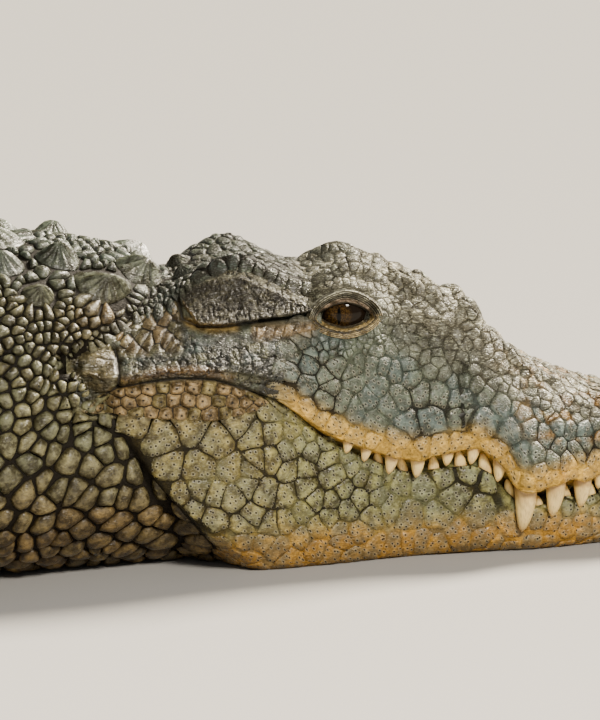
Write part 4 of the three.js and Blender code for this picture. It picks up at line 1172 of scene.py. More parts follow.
    # Dark lines, carried by ring into the seam colour: the joints between plates, beads and cheek cells, and
    # painted shade in the ear's slit, along the flap's edge, in the wrinkles' creases, in the mouth's folds and
    # in the grooves before and behind the jaw's knob.
    dark = np.maximum.reduce([
        slit, 0.8 * flap_edge, 0.95 * flap * (1 - flap_wrinkles), 0.95 * crest * (1 - crest_wrinkles),
        cheek * np.maximum(0.7 * (1 - cheek_wrinkles), 0.8 * crack) * (1 - knob),
        lens * (1 - blend(0.0003, 0.0017, gap)),
        0.9 * along(s, z, MOUTH_FOLD_TOP, 0.0013), 0.9 * along(s, z, MOUTH_FOLD_LOW, 0.0015),
        temple * (1 - blend(0.0002, 0.0016, bead_gap)),
        0.8 * under_ear * (1 - blend(0.0001, 0.0012, small_gap)),
        0.9 * along(s, z, KNOB_FRONT, 0.0020), 0.8 * along(s, z, KNOB_REAR, 0.0030)])
    # ring also sets the painted edge shade: some over the whole slab, more along the dark lines.
    ring = 0.86 + 0.16 * np.clip(dark, 0, 1) * inside
    heart = np.where(lens > 0.5, near_root / 0.01, 1.0)
    cell = np.stack([ring, 0.5 + 0 * s, 0.5 * cheek * (1 - knob) * (blot > 0.5), heart], -1)

    front_rows = np.arange(s.size).reshape(s.shape)
    index = np.concatenate([front_rows, (front_rows + s.size)[:, ::-1]], 1)
    ends = [np.stack([row[:-1], row[1:], row[1:] + s.size, row[:-1] + s.size], -1)
            for row in (front_rows[0], front_rows[-1])]
    faces = np.concatenate([grid_faces(*index.shape, index), *ends])
    values = {key: np.tile(in_rows(value), (2, 1)) for key, value in dict(hide=hide, cell=cell, lie=at).items()}
    for word, side in SIDES:
        points = np.concatenate([in_rows(place(s, side * out, z)) for out in (t, depth - FACE_DEPTH)])
        obj = mesh_object("face_" + word, points, [faces], values, material=HIDE)
        recalculate(obj)
        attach(obj, "root")


def recalculate(obj):
    """Turns the faces of each closed shell outward."""
    made = bmesh.new()
    made.from_mesh(obj.data)
    bmesh.ops.recalc_face_normals(made, faces=made.faces)
    made.to_mesh(obj.data)
    made.free()


# ---- eyes, lids and teeth ----

def eye_material():
    """A wet eye: a dark amber iris with fine rays and a dark ring, an upright slit pupil and a clear coat."""
    material, tree, shader = finish_material("eye")
    gaze = node(tree, "Attribute", attribute_name="gaze").outputs["Vector"]
    across, up, radius = node(tree, "SeparateXYZ", {0: gaze}).outputs
    squares = (calc("POWER", calc("ABSOLUTE", calc("DIVIDE", way, half)), 2.0)
               for way, half in ((across, 0.0017), (up, 0.0082)))
    pupil = inverse(step(calc("ADD", *squares), 0.75, 1.15))
    rays = node(tree, "TexNoise", {"Vector": gaze, "Scale": 650.0, "Detail": 4.0}).outputs[0]
    colour = tint(step(rays, 0.35, 0.70), (0.006, 0.003, 0.001), (0.060, 0.032, 0.008))
    colour = tint(step(radius, 0.0085, 0.0135), colour, (0.008, 0.005, 0.003))
    colour = tint(pupil, colour, (0.001, 0.001, 0.001))
    tree.links.new(colour, shader["Base Color"])
    shader["Roughness"].default_value = 0.30
    shader["Specular IOR Level"].default_value = 0.0
    shader["Coat Weight"].default_value = 0.28
    shader["Coat Roughness"].default_value = 0.04
    return material


EYE_FINISH = eye_material()
PUPIL_S, PUPIL_Z = 0.3520, 0.2250
LID_REACH = 0.0135


def eyes():
    """Eyeballs: spheres by latitude and longitude. gaze holds each point's distance behind and above the
    pupil, and from it."""
    rows, columns = 46, 96                 # without the two poles
    a = np.linspace(0, np.pi, rows + 2)[1:-1, None]
    b = np.linspace(0, 2 * np.pi, columns, endpoint=False)[None]
    shell = np.stack(np.broadcast_arrays(np.sin(a) * np.cos(b), np.cos(a) + 0 * b, np.sin(a) * np.sin(b)), -1)
    shell = np.concatenate([in_rows(shell), [[0, 1, 0], [0, -1, 0]]]) * EYE_RADIUS
    first = np.arange(columns)
    last = (rows - 1) * columns + first
    caps = np.concatenate([np.stack([first, np.roll(first, -1), np.full(columns, len(shell) - 2)], -1),
                           np.stack([np.roll(last, -1), last, np.full(columns, len(shell) - 1)], -1)])
    s, z = EYE[0] + shell[:, 0], EYE[2] + shell[:, 2]
    gaze = np.stack([s - PUPIL_S, z - PUPIL_Z, np.hypot(s - PUPIL_S, z - PUPIL_Z)], -1)
    for word, side in SIDES:
        points = place(s, side * EYE[1] + shell[:, 1], z)
        obj = mesh_object("eyeball_" + word, points, [grid_faces(rows, columns), caps], {"gaze": gaze},
                          material=EYE_FINISH)
        turn_outward(obj, unit(points - place(np.float64(EYE[0]), side * EYE[1], EYE[2])))
        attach(obj, "root")
        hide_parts("eye_" + word)


def lids(bare):
    """Eyelids: a band round each eye's opening. Round it runs phi, and outward k from 0 at the rim, where it
    lies on the eyeball, to 1, where it has sunk into the hide. Its lip bulges, concentric folds lie over
    the upper lid and a row of beads along the lower rim."""
    rings, columns = 46, 260
    phi = np.linspace(0, 2 * np.pi, columns, endpoint=False)[None]
    k = np.linspace(0, 1, rings)[:, None] ** 1.15
    power = 2 / LID["power"]
    c, w = np.cos(phi), np.sin(phi)
    ex, ez = np.sign(c) * np.abs(c) ** power, np.sign(w) * np.abs(w) ** power
    tall = np.where(w > 0, LID["up"], LID["down"])
    upper = blend(-0.05, 0.25, w)
    reach_z = LID_REACH * upper + 0.0105 * (1 - upper)
    s = LID["s"] + ex * LID["half"] + c * k * LID_REACH
    z = LID["z"] + ez * tall + w * k * reach_z
    depth = side_line(bare, s, z)[0]
    ball = EYE_RADIUS + 0.0008
    inside = ball ** 2 - (s - EYE[0]) ** 2 - (z - EYE[2]) ** 2
    on_ball = EYE[1] + np.sqrt(np.maximum(inside, 0.006 ** 2))
    rise = blend(0.0, 0.42, k)
    t = on_ball * (1 - rise) + depth * rise
    t += 0.0034 * np.sin(np.pi * np.clip(k / 0.30, 0, 1)) * (0.6 + 0.4 * upper)
    t += 0.0045 * upper * near((k,), (0.80,), (0.22,))
    wrinkle = np.sin(k * 46 + 1.2 * np.sin(phi * 3)) * blend(0.16, 0.3, k) * (1 - blend(0.85, 1, k))
    t += 0.0012 * wrinkle * (0.30 + 0.70 * upper)
    beads = np.abs(np.sin(phi * 15)) ** 0.7
    t += 0.0017 * beads * near((k,), (0.20,), (0.11,)) * (1 - upper)
    t -= 0.004 * blend(0.88, 1.0, k)
    rough = mottle(np.stack([s, t, z], -1), 0.0016, 5) - 0.5
    t += 0.0007 * rough * blend(0.1, 0.3, k)
    edge = near((k,), (0.06,), (0.10,))
    rim = near((k,), (0.20,), (0.14,))
    colour = mix(
        np.zeros(s.shape + (3,)) + PALE_GREY * 0.72,
        (EAR_DARK * 0.9, upper * near((k,), (0.48,), (0.20,)) * 0.75),
        (LIP_CREAM * 0.75, (1 - upper) * 0.5),
        (LID_PINK, upper * rim * 0.6),
        (LID_CREAM * (0.75 + 0.45 * beads[..., None]), (1 - upper) * rim * 0.9),
        (EAR_DARK * 0.3, np.maximum(edge, (1 - upper) * near((k,), (0.42,), (0.09,))) * 0.9))
    # Painted light and shade: paler on the folds' crests and darker between them; also darker where the same
    # mottle sinks the lid.
    colour *= (1 + 0.85 * wrinkle * blend(0.2, 0.4, k))[..., None] * (0.75 + 0.5 * (rough + 0.5))[..., None]
    values = {"hide": np.tile(in_rows(with_relief(colour, 0.75)), (2, 1)),
              "cell": np.tile([0.5, 0.5, 0.0, 1.0], (2 * s.size, 1))}
    front = np.arange(s.size).reshape(s.shape)
    index = np.concatenate([front, (front + s.size)[::-1], front[:1]])
    for word, side in SIDES:
        points = np.concatenate([in_rows(place(s, side * out, z)) for out in (t, t - 0.004 - 0.004 * k)])
        obj = mesh_object("eyelids_" + word, points, [grid_faces(len(index), columns, index)], values,
                          material=HIDE)
        turn_outward(obj, np.repeat([[0.0, side, 0.0], [0.0, -side, 0.0]], s.size, 0))
        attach(obj, "root")


def tooth_material():
    """Tooth: the enamel's painted colour with fine upright brown streaks and a soft gloss."""
    material, tree, shader = finish_material("tooth")
    stain = node(tree, "Attribute", attribute_name="hide").outputs["Color"]
    at = node(tree, "TexCoord").outputs["Object"]
    turned = node(tree, "Mapping", {"Vector": at, "Scale": (900, 900, 120)}).outputs[0]
    streak = node(tree, "TexNoise", {"Vector": turned, "Scale": 1.0, "Detail": 3.0}).outputs[0]
    colour = tint(step(streak, 0.48, 0.75, 0.0, 0.5), stain, (0.26, 0.16, 0.07))
    tree.links.new(colour, shader["Base Color"])
    tree.links.new(step(streak, 0.3, 0.7, 0.26, 0.42), shader["Roughness"])
    shader["Subsurface Weight"].default_value = 0.12
    shader["Subsurface Radius"].default_value = (0.004, 0.002, 0.001)
    bump = node(tree, "Bump", {"Height": streak, "Strength": 0.35, "Distance": 0.0005})
    tree.links.new(bump.outputs[0], shader["Normal"])
    return material


TOOTH_FINISH = tooth_material()
# each tooth's place s and length
UPPER_TEETH = np.array([(9, 12), (20, 15), (36, 22), (48, 24), (60, 13), (88, 10), (104, 17), (123, 29),
                        (150, 33), (179, 40), (203, 17), (227, 15), (252, 13), (281, 19), (305, 17),
                        (329, 11), (346, 9)]) / 1000
LOWER_TEETH = np.array([(20, 20), (30, 14), (44, 12), (76, 38), (96, 13), (112, 15), (137, 15), (164, 10),
                        (192, 15), (215, 22), (238, 19), (264, 15), (293, 13), (317, 10)]) / 1000


def teeth(name, placed_rows, down):
    """Teeth: blunt cones by height k and angle phi, their radius girth·(1 − k^1.9)^0.62 flattened across the
    jaw and their axis bowed a little backwards and outwards."""
    s, length = placed_rows.T
    if down:
        girth = 0.0036 + 0.180 * length
        t = lip_half(s) - 0.0015 - 0.85 * girth
        root = lip_height(s) + 0.004
        shown = length + 0.004
    else:
        long_one = length > 0.03
        girth = 0.0036 + 0.150 * length
        t = lower_lip_half(s) - 0.005 + 0.008 * long_one
        root = lip_height(s) - lip_drop(s) - 0.004
        shown = np.where(long_one, length, np.minimum(length, lip_drop(s) + 0.001)) + 0.004
    side = np.tile([-1.0, 1.0], len(s))[:, None, None]
    s, t, root, shown, girth = (np.repeat(x, 2)[:, None, None] for x in (s, t, root, shown, girth))
    shown = shown * rng.uniform(0.93, 1.05, side.shape)
    lean = rng.uniform(-0.06, 0.10, side.shape)
    rows, columns = 15, 16
    k = np.linspace(-0.25, 1, rows)[None, :, None]
    phi = np.linspace(0, 2 * np.pi, columns, endpoint=False)[None, None]
    taper = np.where(k < 0, 1 - 0.15 * k ** 2, (1 - np.clip(k, 0, 1) ** 1.9) ** 0.62)
    wide = girth * taper + 1e-5
    z = root + (-1 if down else 1) * k * shown + 0 * phi
    at_s = s + wide * np.cos(phi) + (lean * k + 0.10 * k ** 2) * shown
    at_t = t + 0.85 * wide * np.sin(phi) + (0.10 * k - 0.06 * k ** 2) * shown
    points = place(at_s, side * at_t, z)
    k = np.broadcast_to(k, z.shape)
    noise = mottle(points, 0.004, 9)
    colour = mix(
        np.zeros(z.shape + (3,)) + IVORY,
        (GUM_STAIN, (1 - blend(0.10, 0.48, k + 0.25 * (noise - 0.5))) * 0.8),
        (TIP_STAIN, blend(0.72, 1.0, k + 0.2 * (noise - 0.5)) * 0.6))
    colour *= (0.85 + 0.3 * noise)[..., None]
    obj = mesh_object(name, in_rows(points), closed_tubes(len(s), rows, columns),
                      {"hide": in_rows(with_relief(colour, 1.0))}, material=TOOTH_FINISH)
    turn_outward(obj, unit(in_rows(points - place(s, side * t, root)) * [1, 1, 0.1]))
    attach(obj, "root")


# ---- limbs ----

# each joint of a right limb as s, t, z, half width, half height, and its toes as the angle from the
# heading, length, radius and whether it bears a claw
LIMBS = {
    "front": dict(joints=[(858, 100, 150, 50, 66), (905, 172, 145, 52, 64), (950, 232, 122, 49, 54),
                          (990, 278, 92, 42, 45), (1010, 302, 72, 38, 40), (986, 322, 65, 36, 38),
                          (930, 348, 52, 33, 33), (882, 374, 31, 27, 25), (853, 391, 20, 33, 20),
                          (826, 406, 13, 31, 13)],
                  toes=[(-62, 62, 9, 1), (-34, 84, 10, 1), (-4, 92, 10, 1), (26, 80, 8, 0), (58, 58, 7, 0)],
                  heading=27, palm=(852, 392, 17)),
    "hind": dict(joints=[(1672, 90, 150, 72, 88), (1640, 165, 154, 70, 84), (1588, 236, 148, 64, 74),
                         (1528, 296, 126, 53, 60), (1492, 324, 106, 46, 52), (1516, 346, 96, 45, 48),
                         (1580, 378, 76, 40, 42), (1640, 396, 52, 32, 34), (1664, 406, 36, 29, 30),
                         (1636, 424, 26, 33, 24), (1600, 440, 20, 38, 18), (1560, 457, 13, 40, 12)],
                 toes=[(-30, 100, 11, 1), (-8, 128, 12, 1), (14, 126, 11, 1), (38, 96, 9, 0)],
                 heading=25, palm=(1612, 432, 22)),
}
TOE_START = 0.030
LEG_RINGS, LEG_COLUMNS, TOE_RINGS, TOE_COLUMNS = 84, 44, 30, 18


def tube(path, wide, high, columns, bulge=1.0):
    """A closed tube along a path: ellipses that are wide across and high upwards, cut flat by the floor,
    drawn in at both ends by a quarter circle. Returned as a surface of rings and columns, with k the share
    of the way along it."""
    ahead = unit(np.gradient(path, axis=0))
    across = unit(np.cross([0.0, 0.0, 1.0], ahead))
    up = np.cross(ahead, across)
    share = np.linspace(0, 1, len(path))
    length = np.linalg.norm(np.diff(path, axis=0), axis=-1).sum()
    end = min(0.45, wide.mean() / length)
    inset = np.maximum(1 - share / end, 1 - (1 - share) / end).clip(0, 1)
    tight = np.sqrt(np.maximum(1 - inset ** 2, 1e-4))[:, None, None]
    phi = np.linspace(0, 2 * np.pi, columns, endpoint=False)[None, :, None]
    points = path[:, None] + tight * bulge * (across[:, None] * wide[:, None, None] * np.cos(phi)
                                              + up[:, None] * high[:, None, None] * np.sin(phi))
    points[..., 2] = np.maximum(points[..., 2], FLOOR_GAP)
    normals = grid_normals(points)
    if (normals * (points - path[:, None])).sum() < 0:
        normals = -normals
    even = np.ones(points.shape[:2])
    return dict(points=points, normals=normals, k=share[:, None] * even, lie=points[..., [0, 2, 1]],
                seam=1.25 * even, crack=0.5 * even)


def smooth_path(rows, count):
    """A Catmull-Rom curve through rows of numbers, at equal steps of its parameter: each piece is the cubic
    whose end slopes are half the difference of the rows on either side."""
    rows = np.array(rows, float)
    slope = np.gradient(rows, axis=0)
    at = np.linspace(0, len(rows) - 1, count)
    i = np.clip(np.floor(at).astype(int), 0, len(rows) - 2)
    return cubic(rows[i], rows[i + 1], slope[i], slope[i + 1], (at - i)[:, None])


def limb_paint(surface, shade):
    """A limb's paint: flank colour with dark blotches, paler below and darker near the floor, all of it
    darkened by shade."""
    points, up = surface["points"], surface["normals"][..., 2]
    blot = mottle(points, 0.032, 1) * 0.6 + mottle(points, 0.012, 2) * 0.4
    colour = mix(
        np.zeros(points.shape) + FLANK, (BACK_DARK, blend(0.42, 0.62, blot) * 0.75),
        (BEAD, blend(0.5, 0.8, up) * 0.3), (BELLY, (1 - blend(-0.6, -0.1, up)) * 0.8),
        (EARTH, (1 - blend(0.01, 0.05, points[..., 2])) * 0.35))
    return with_relief(colour * ((1 - shade) * (0.8 + 0.4 * blot)[..., None]), 0.4)


def limb_surfaces():
    """Every limb and toe as a tube surface, and where claws grow: name, end point, heading, radius."""
    surfaces, claws = [], []

    def add(made, name, size, shade):
        made.update(name=name, size=size, paint=limb_paint(made, shade))
        surfaces.append(made)

    for kind, limb in LIMBS.items():
        rows = smooth_path(limb["joints"], LEG_RINGS) / 1000
        palm = np.array(limb["palm"]) / 1000
        for word, side in SIDES:
            path = place(np.minimum(rows[:, 0], BEND_1[0]), side * rows[:, 1], rows[:, 2])
            leg = tube(path, rows[:, 3], rows[:, 4], LEG_COLUMNS)
            add(leg, f"{kind}_{word}", 0.017 - 0.007 * leg["k"], 0.0)
            base = place(palm[0], side * palm[1], palm[2])
            claw = 0
            for number, (angle, length, radius, clawed) in enumerate(limb["toes"], 1):
                length, radius = length / 1000, radius / 1000
                turn = math.radians(side * (limb["heading"] + angle))
                way = np.array([math.cos(turn), math.sin(turn), 0])
                k = np.linspace(-0.35, 1, TOE_RINGS)
                path = base + way * (TOE_START + length * k)[:, None]
                path[:, 2] = np.maximum(radius * 0.8, base[2] - (base[2] - radius * 0.8) * k * 1.5)
                slim = np.interp(k, [-0.35, 0.5, 1], [1.2, 1.08, 0.80]) * radius
                knuckle = 1 + 0.10 * np.cos(2 * np.pi * 3 * k) * blend(-0.3, 0.1, k)
                toe = tube(path, slim, slim * 0.95, TOE_COLUMNS, knuckle[:, None, None])
                add(toe, f"toe_{kind}_{word}_{number}", 0.0075 + 0 * toe["k"], 0.15)
                if clawed:
                    claw += 1
                    claws.append((f"claw_{kind}_{word}_{claw}", path[-1], way, radius))
    return surfaces, claws


def horn_material():
    """Claw horn: near black with brown patches and a dull polish."""
    material, tree, shader = finish_material("horn")
    at = node(tree, "TexCoord").outputs["Object"]
    cloud = node(tree, "TexNoise", {"Vector": at, "Scale": 500.0, "Detail": 4.0, "Roughness": 0.6})
    streak = cloud.outputs[0]
    colour = tint(step(streak, 0.4, 0.7), (0.016, 0.013, 0.010), (0.085, 0.062, 0.040))
    tree.links.new(colour, shader["Base Color"])
    tree.links.new(step(streak, 0.3, 0.7, 0.25, 0.5), shader["Roughness"])
    bump = node(tree, "Bump", {"Height": streak, "Strength": 0.4, "Distance": 0.0006})
    tree.links.new(bump.outputs[0], shader["Normal"])
    return material


HORN = horn_material()


def claws(claw_rows):
    """Claws: horns by length k and angle phi, their radius 0.68·(1 − k^1.6) of the toe's and their axis
    falling to the floor as a quarter of a parabola."""
    names, *values = zip(*claw_rows)
    end, way, radius = (np.array(x)[:, None, None] for x in values)
    rows, columns = 14, 12
    k = np.linspace(-0.35, 1, rows)[None, :, None]
    phi = np.linspace(0, 2 * np.pi, columns, endpoint=False)[None, None]
    taper = 0.68 * (1 - np.clip(k, 0, 1) ** 1.6) * (1 - 0.25 * (k < 0) * (k / 0.35) ** 2)
    wide = radius * np.maximum(taper, 0.04)
    across = np.stack([-way[..., 1], way[..., 0], 0 * way[..., 0]], -1)
    height = radius * (0.95 - 0.62 * np.clip(k, 0, 1) ** 2)
    axis = end + way * (radius * 2.6 * k)[..., None]
    points = axis + across * (0.72 * wide * np.cos(phi))[..., None]
    points[..., 2] = np.maximum(height + wide * np.sin(phi), 0.0009)
    centre = axis + [0, 0, 1] * (height - end[..., 2])[..., None]
    obj = mesh_object("claws", in_rows(points), closed_tubes(len(names), rows, columns), material=HORN)
    turn_outward(obj, unit(in_rows(points - centre)))
    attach(obj, "root")
    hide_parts(*names)


def whorl_start(k):
    """Where a ring of tail scales begins: whorls shorten towards the tip."""
    share = k / WHORLS
    return TAIL_START + (TOTAL_LENGTH - TAIL_START) * (1.22 * share - 0.22 * share ** 2)


def crest():
    """The tail's blades: a fin over each whorl, whose height rises as k^1.3 to its peak and drops steeply
    behind, and whose thickness shrinks from base to edge as (1 − h)^0.8. Two rows, then one."""
    k = np.arange(WHORLS - 1)
    start, length = whorl_start(k), whorl_start(k + 1) - whorl_start(k)
    peak = 0.72
    double = start + peak * length < CREST_MERGE
    start, length = (np.concatenate([x[double], x[double], x[~double]])[:, None, None] for x in (start, length))
    side = np.repeat([-1.0, 1.0, 0.0], [double.sum(), double.sum(), (~double).sum()])[:, None, None]
    u = np.linspace(0, 1, 9)[None, :, None]
    h = np.concatenate([np.linspace(0, 1, 5), np.linspace(1, 0, 5)[1:]])[None, None]
    face = np.repeat([-1.0, 1.0], [5, 4])[None, None]
    shape = np.where(u < peak, (u / peak) ** 1.3, np.sqrt(np.clip((1 - u) / (1 - peak), 0, 1))) * 0.92 + 0.06
    s = start + length * (0.02 + 0.96 * u) + 0.16 * length * h * u
    high = (crest_height(start + length * peak) * 1.02 + 0.006) * shape * h
    thick = (0.010 * body_half(start) / 0.1 + 0.0035) * np.clip(1 - h, 0, 1) ** 0.8
    thick = thick * np.sin(np.pi * (0.06 + 0.88 * u)) ** 0.4
    top, waist = body_top(s), waist_height(s)
    share = 0.42 * np.abs(side)
    t = share * body_half(s) + 0.35 * high * np.abs(side) * 0.5
    z = waist + (top - waist) * (1 - share ** ROUND) ** (1 / ROUND) - 0.006 + high
    y = side * t + face * thick + 0.0008 * face
    zero = 0 * y
    points = place(s + zero, y, z + zero)
    noise = mottle(points, 0.012, 4)
    colour = mix(np.zeros(points.shape) + FLANK * 0.8, (BACK_DARK, blend(0.25, 0.6, noise) * 0.8))
    # ring 0.9 on the blade's lowest fifth gives it the painted edge shade and, here and there, dark seam.
    cell = np.stack(np.broadcast_arrays(np.where(h < 0.2, 0.9, 0.4) + zero, 0.5, 0.0, 1.0), -1)
    uv_root = np.stack([(start - 1.7) / 1.9 + zero, 0.5 + 0.42 * side + zero], -1)
    spread_out = np.stack([u - 0.5 + 0.25 * h + zero, np.linspace(-0.5, 0.5, face.size) + zero], -1)
    obj = mesh_object("tail_crest", in_rows(points), closed_tubes(*points.shape[:3]),
                      {"hide": in_rows(with_relief(colour, 0.5)), "cell": in_rows(cell)},
                      in_rows(uv_root + 0.0026 * spread_out), HIDE)
    turn_outward(obj, unit(in_rows(np.stack([zero, face + zero, 0.3 + zero], -1))))
    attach(obj, "root")


# ---- camera and lights ----

def camera():
    """A camera to the right of the head, a little behind it and above, with the snout tip out of view."""
    azimuth, elevation, distance = math.radians(-7.0), math.radians(11.0), 2.6
    view_height = 720 / 1080               # pixels over pixels per metre
    aim = Vector((SNOUT_X - 0.378, 0, 0.171))
    right = Vector((math.cos(azimuth), math.sin(azimuth), 0))
    back = Vector((math.sin(azimuth) * math.cos(elevation), -math.cos(azimuth) * math.cos(elevation),
                   math.sin(elevation)))
    turned = Matrix((right, back.cross(right), back)).transposed().to_4x4()
    turned.translation = aim + back * distance
    lens = bpy.data.cameras.new("camera")
    lens.sensor_fit, lens.sensor_height, lens.sensor_width = "VERTICAL", 36, 36
    lens.lens = lens.sensor_height * distance / view_height
    bpy.context.scene.camera = linked("camera", lens)
    bpy.context.scene.camera.matrix_world = turned


def lamp(name, energy, size, spot, aim, colour):
    """A square soft light at a place, aimed at a point."""
    light = bpy.data.lights.new(name, "AREA")
    light.energy, light.size, light.color = energy, size, colour
    obj = linked(name, light)
    obj.location = spot
    obj.rotation_euler = (Vector(aim) - Vector(spot)).to_track_quat("-Z", "Y").to_euler()


def sun(name, energy, angle, toward, colour):
    """An even light from far away, softened by the angle that it spans."""
    light = bpy.data.lights.new(name, "SUN")
    light.energy, light.angle, light.color = energy, angle, colour
    linked(name, light).rotation_euler = Vector(toward).to_track_quat("Z", "Y").to_euler()


def world_light(colour, strength):
    """An even light from all round."""
    world = bpy.data.worlds.new("studio")
    world.use_nodes = True
    backdrop = world.node_tree.nodes["Background"].inputs
    backdrop["Color"].default_value = (*colour, 1)
    backdrop["Strength"].default_value = strength
    bpy.context.scene.world = world


# ---- the animal ----

def looks(surface):
    """A surface's points, its paint, and its seam and crack values as the skin's attribute."""
    cell = np.stack(np.broadcast_arrays(surface["seam"], surface["crack"], 0.0, 1.0), -1)
    return surface["points"], surface["paint"], cell


def skin(surface, limbs):
    """The one skin: the body's grid, whose first and last rings are folded onto the middle plane, and the
    tubes of limbs and toes, closed by a flat face at each end. Of the trunk it keeps every second ring and
    of the tail every third."""
    every = np.where(RINGS < 1.0, 1, np.where(RINGS < 1.8, 2, 3))
    rings = np.flatnonzero((np.arange(len(RINGS)) % every == 0) | (RINGS > 3.45))
    surface = {key: value[rings] for key, value in surface.items()}
    rows, columns = surface["points"].shape[:2]
    index = np.arange(rows * columns).reshape(rows, columns)
    mirror = (-np.arange(columns)) % columns
    for row in (0, -1):
        index[row] = np.minimum(index[row], index[row][mirror])
    used, quads = np.unique(grid_faces(rows, columns, index), return_inverse=True)
    parts = [[in_rows(value)[used] for value in looks(surface)]]
    faces = [quads.reshape(-1, 4)]
    start = len(used)
    for limb in limbs:
        parts.append([in_rows(value) for value in looks(limb)])
        faces += [f + start for f in closed_tubes(1, *limb["points"].shape[:2])]
        start += limb["k"].size
    points, paint, cell = (np.concatenate(part) for part in zip(*parts))
    obj = mesh_object("skin", points, faces, {"hide": paint, "cell": cell}, material=SKIN)
    recalculate(obj)
    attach(obj, "root")
    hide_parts(*[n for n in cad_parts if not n.startswith(("eye_", "claw_"))])


surface = hide_surface()
bare = hide_surface(socket=0.0)
surface["paint"] = hide_paint(surface["s"], surface["v"], surface["z"], surface["points"])
S, V, Z, ARC = (surface[k] for k in ("s", "v", "z", "arc"))
head = S < margin(V) - 0.003
right = surface["side"] < 0
behind_eye = face_inside(S, Z) * (V > 0.25) * (V < 0.92)
around_eye = (lid_gap(S, Z) < 0.016) & (V > 0.62) & (V < 0.93) & head
surface["seam"] = np.where(head, 0.985 - 0.14 * around_eye, 1.25)
surface["pores"] = (1 - blend(0.72, 0.80, V)) * (1 - blend(0.030, 0.018, lid_gap(S, Z)) * (V > 0.6))
smooth = np.maximum((1 - blend(0.012, 0.024, Z - lip_height(S))) * (V > 0.5) * (S < 0.42),
                    (1 - blend(0.030, 0.055, Z)) * (V < 0.5))
rugged = np.maximum(blend(0.66, 0.76, V) * (S < 0.34), 1.2 * (lid_gap(S, Z) < 0.034) * (Z > 0.232))
faded = 0.35 + 0.65 * blend(0.30, 0.55, mottle(surface["points"], 0.030, 61))
surface["crack"] = np.where(head, 0.5 * np.minimum(faded, 1 - np.maximum(0.85 * smooth, 0.5 * rugged)), 0.5)
limbs, claw_rows = limb_surfaces()


SHAKE = 0.35


def mirrored(i, j, shake=0.35):
    """Roots on both sides: the given ones and their mirror images, moved a little."""
    columns = surface["points"].shape[1]
    return (np.concatenate([i, i + rng.uniform(-shake, shake, i.shape)]),
            np.concatenate([j, (columns - j + rng.uniform(-shake, shake, j.shape)) % columns]))


def scattered(size, inside, **values):
    """A loose group: roots scattered over a part of the right side, and mirrored."""
    i, j = mirrored(*scatter(surface, size, inside * right))
    values["turn"] = values.get("turn", 0) * np.repeat([1, -1], len(i) // 2)
    return dict(i=i, j=j, room=value_at(size, i, j) / 2, **values)


def listed(s, v, **values):
    """A firm group: roots at places (s, v) of the right side, and mirrored."""
    i, j = mirrored(*hide_roots(s, v, -1), shake=0.2)
    return dict(i=i, j=j, firm=True, **{k: np.tile(x, 2) if np.ndim(x) else x for k, x in values.items()})


def rows_down(row_s, distances, shake=0.0):
    """Places (s, v) of the right side in rows across the body, at distances from the crown."""
    count = len(HALF_COLUMNS)
    s, v = [], []
    for k, at_s in enumerate(row_s):
        row = int(np.rint(np.interp(at_s, RINGS, np.arange(len(RINGS)))))
        down = np.asarray(distances(k) if callable(distances) else distances, float)
        down = down[down < ARC[row, 0] - 0.004]
        v.append(np.interp(down, ARC[row, :count][::-1], HALF_COLUMNS[::-1]))
        s.append(np.full(len(down), at_s))
    return np.concatenate(s), np.concatenate(v)


jaw_size = 0.021 - 0.007 * blend(0.38, 0.45, V) + 0.004 * blend(0.38, 0.5, S)
jaw_size -= 0.004 * (1 - blend(0.1, 0.2, S))
side_size = np.where(V > 0.76, 0.0115, 0.0200 - 0.005 * (V < 0.6))
side_size = np.where(lid_gap(S, Z) < 0.032, 0.0078, side_size)
top_size = np.where(S > 0.3, 0.011, 0.0125)
neck_size = 0.0110 + 0.011 * (1 - blend(0.11, 0.19, Z)) + 0.006 * blend(0.62, 0.75, S)
temple = (S < margin(V) + 0.004) & (S > 0.484) & (V > 0.62) & (behind_eye < 0.6)
plated = head * (behind_eye < 0.5) * (S > 0.006) * ~temple
NUCHAL_SCUTES = np.array([  # s, distance from the crown, room, stretch, height
    (529, 44, 24, 1.25, 13), (563, 90, 24, 1.25, 12), (603, 62, 21, 1.15, 14), (487, 34, 12, 1.2, 7),
    (622, 122, 15, 1.2, 10), (662, 28, 33, 1.2, 11), (655, 88, 25, 1.1, 12), (724, 33, 29, 1.15, 10),
    (716, 96, 23, 1.2, 11), (778, 30, 26, 1.2, 9), (770, 84, 15, 1.2, 7)]) / 1000
nuchal_v = np.concatenate([rows_down([row[0]], [row[1]])[1] for row in NUCHAL_SCUTES])
BACK_ROWS = np.arange(0.895, 1.755, SCUTE_ROW)
back_s, back_v = rows_down(BACK_ROWS, [0.031, 0.093, 0.152])
TAIL_ROWS = (whorl_start(np.arange(WHORLS)) + whorl_start(np.arange(1, WHORLS + 1))) / 2


def whorl_distances(k):
    """Distances from the crown of one whorl's scales: about as wide as the whorl is long times 0.62."""
    wide = 0.62 * (whorl_start(k + 1) - whorl_start(k)) + 0.004
    return wide * (np.arange(40) + 0.5)


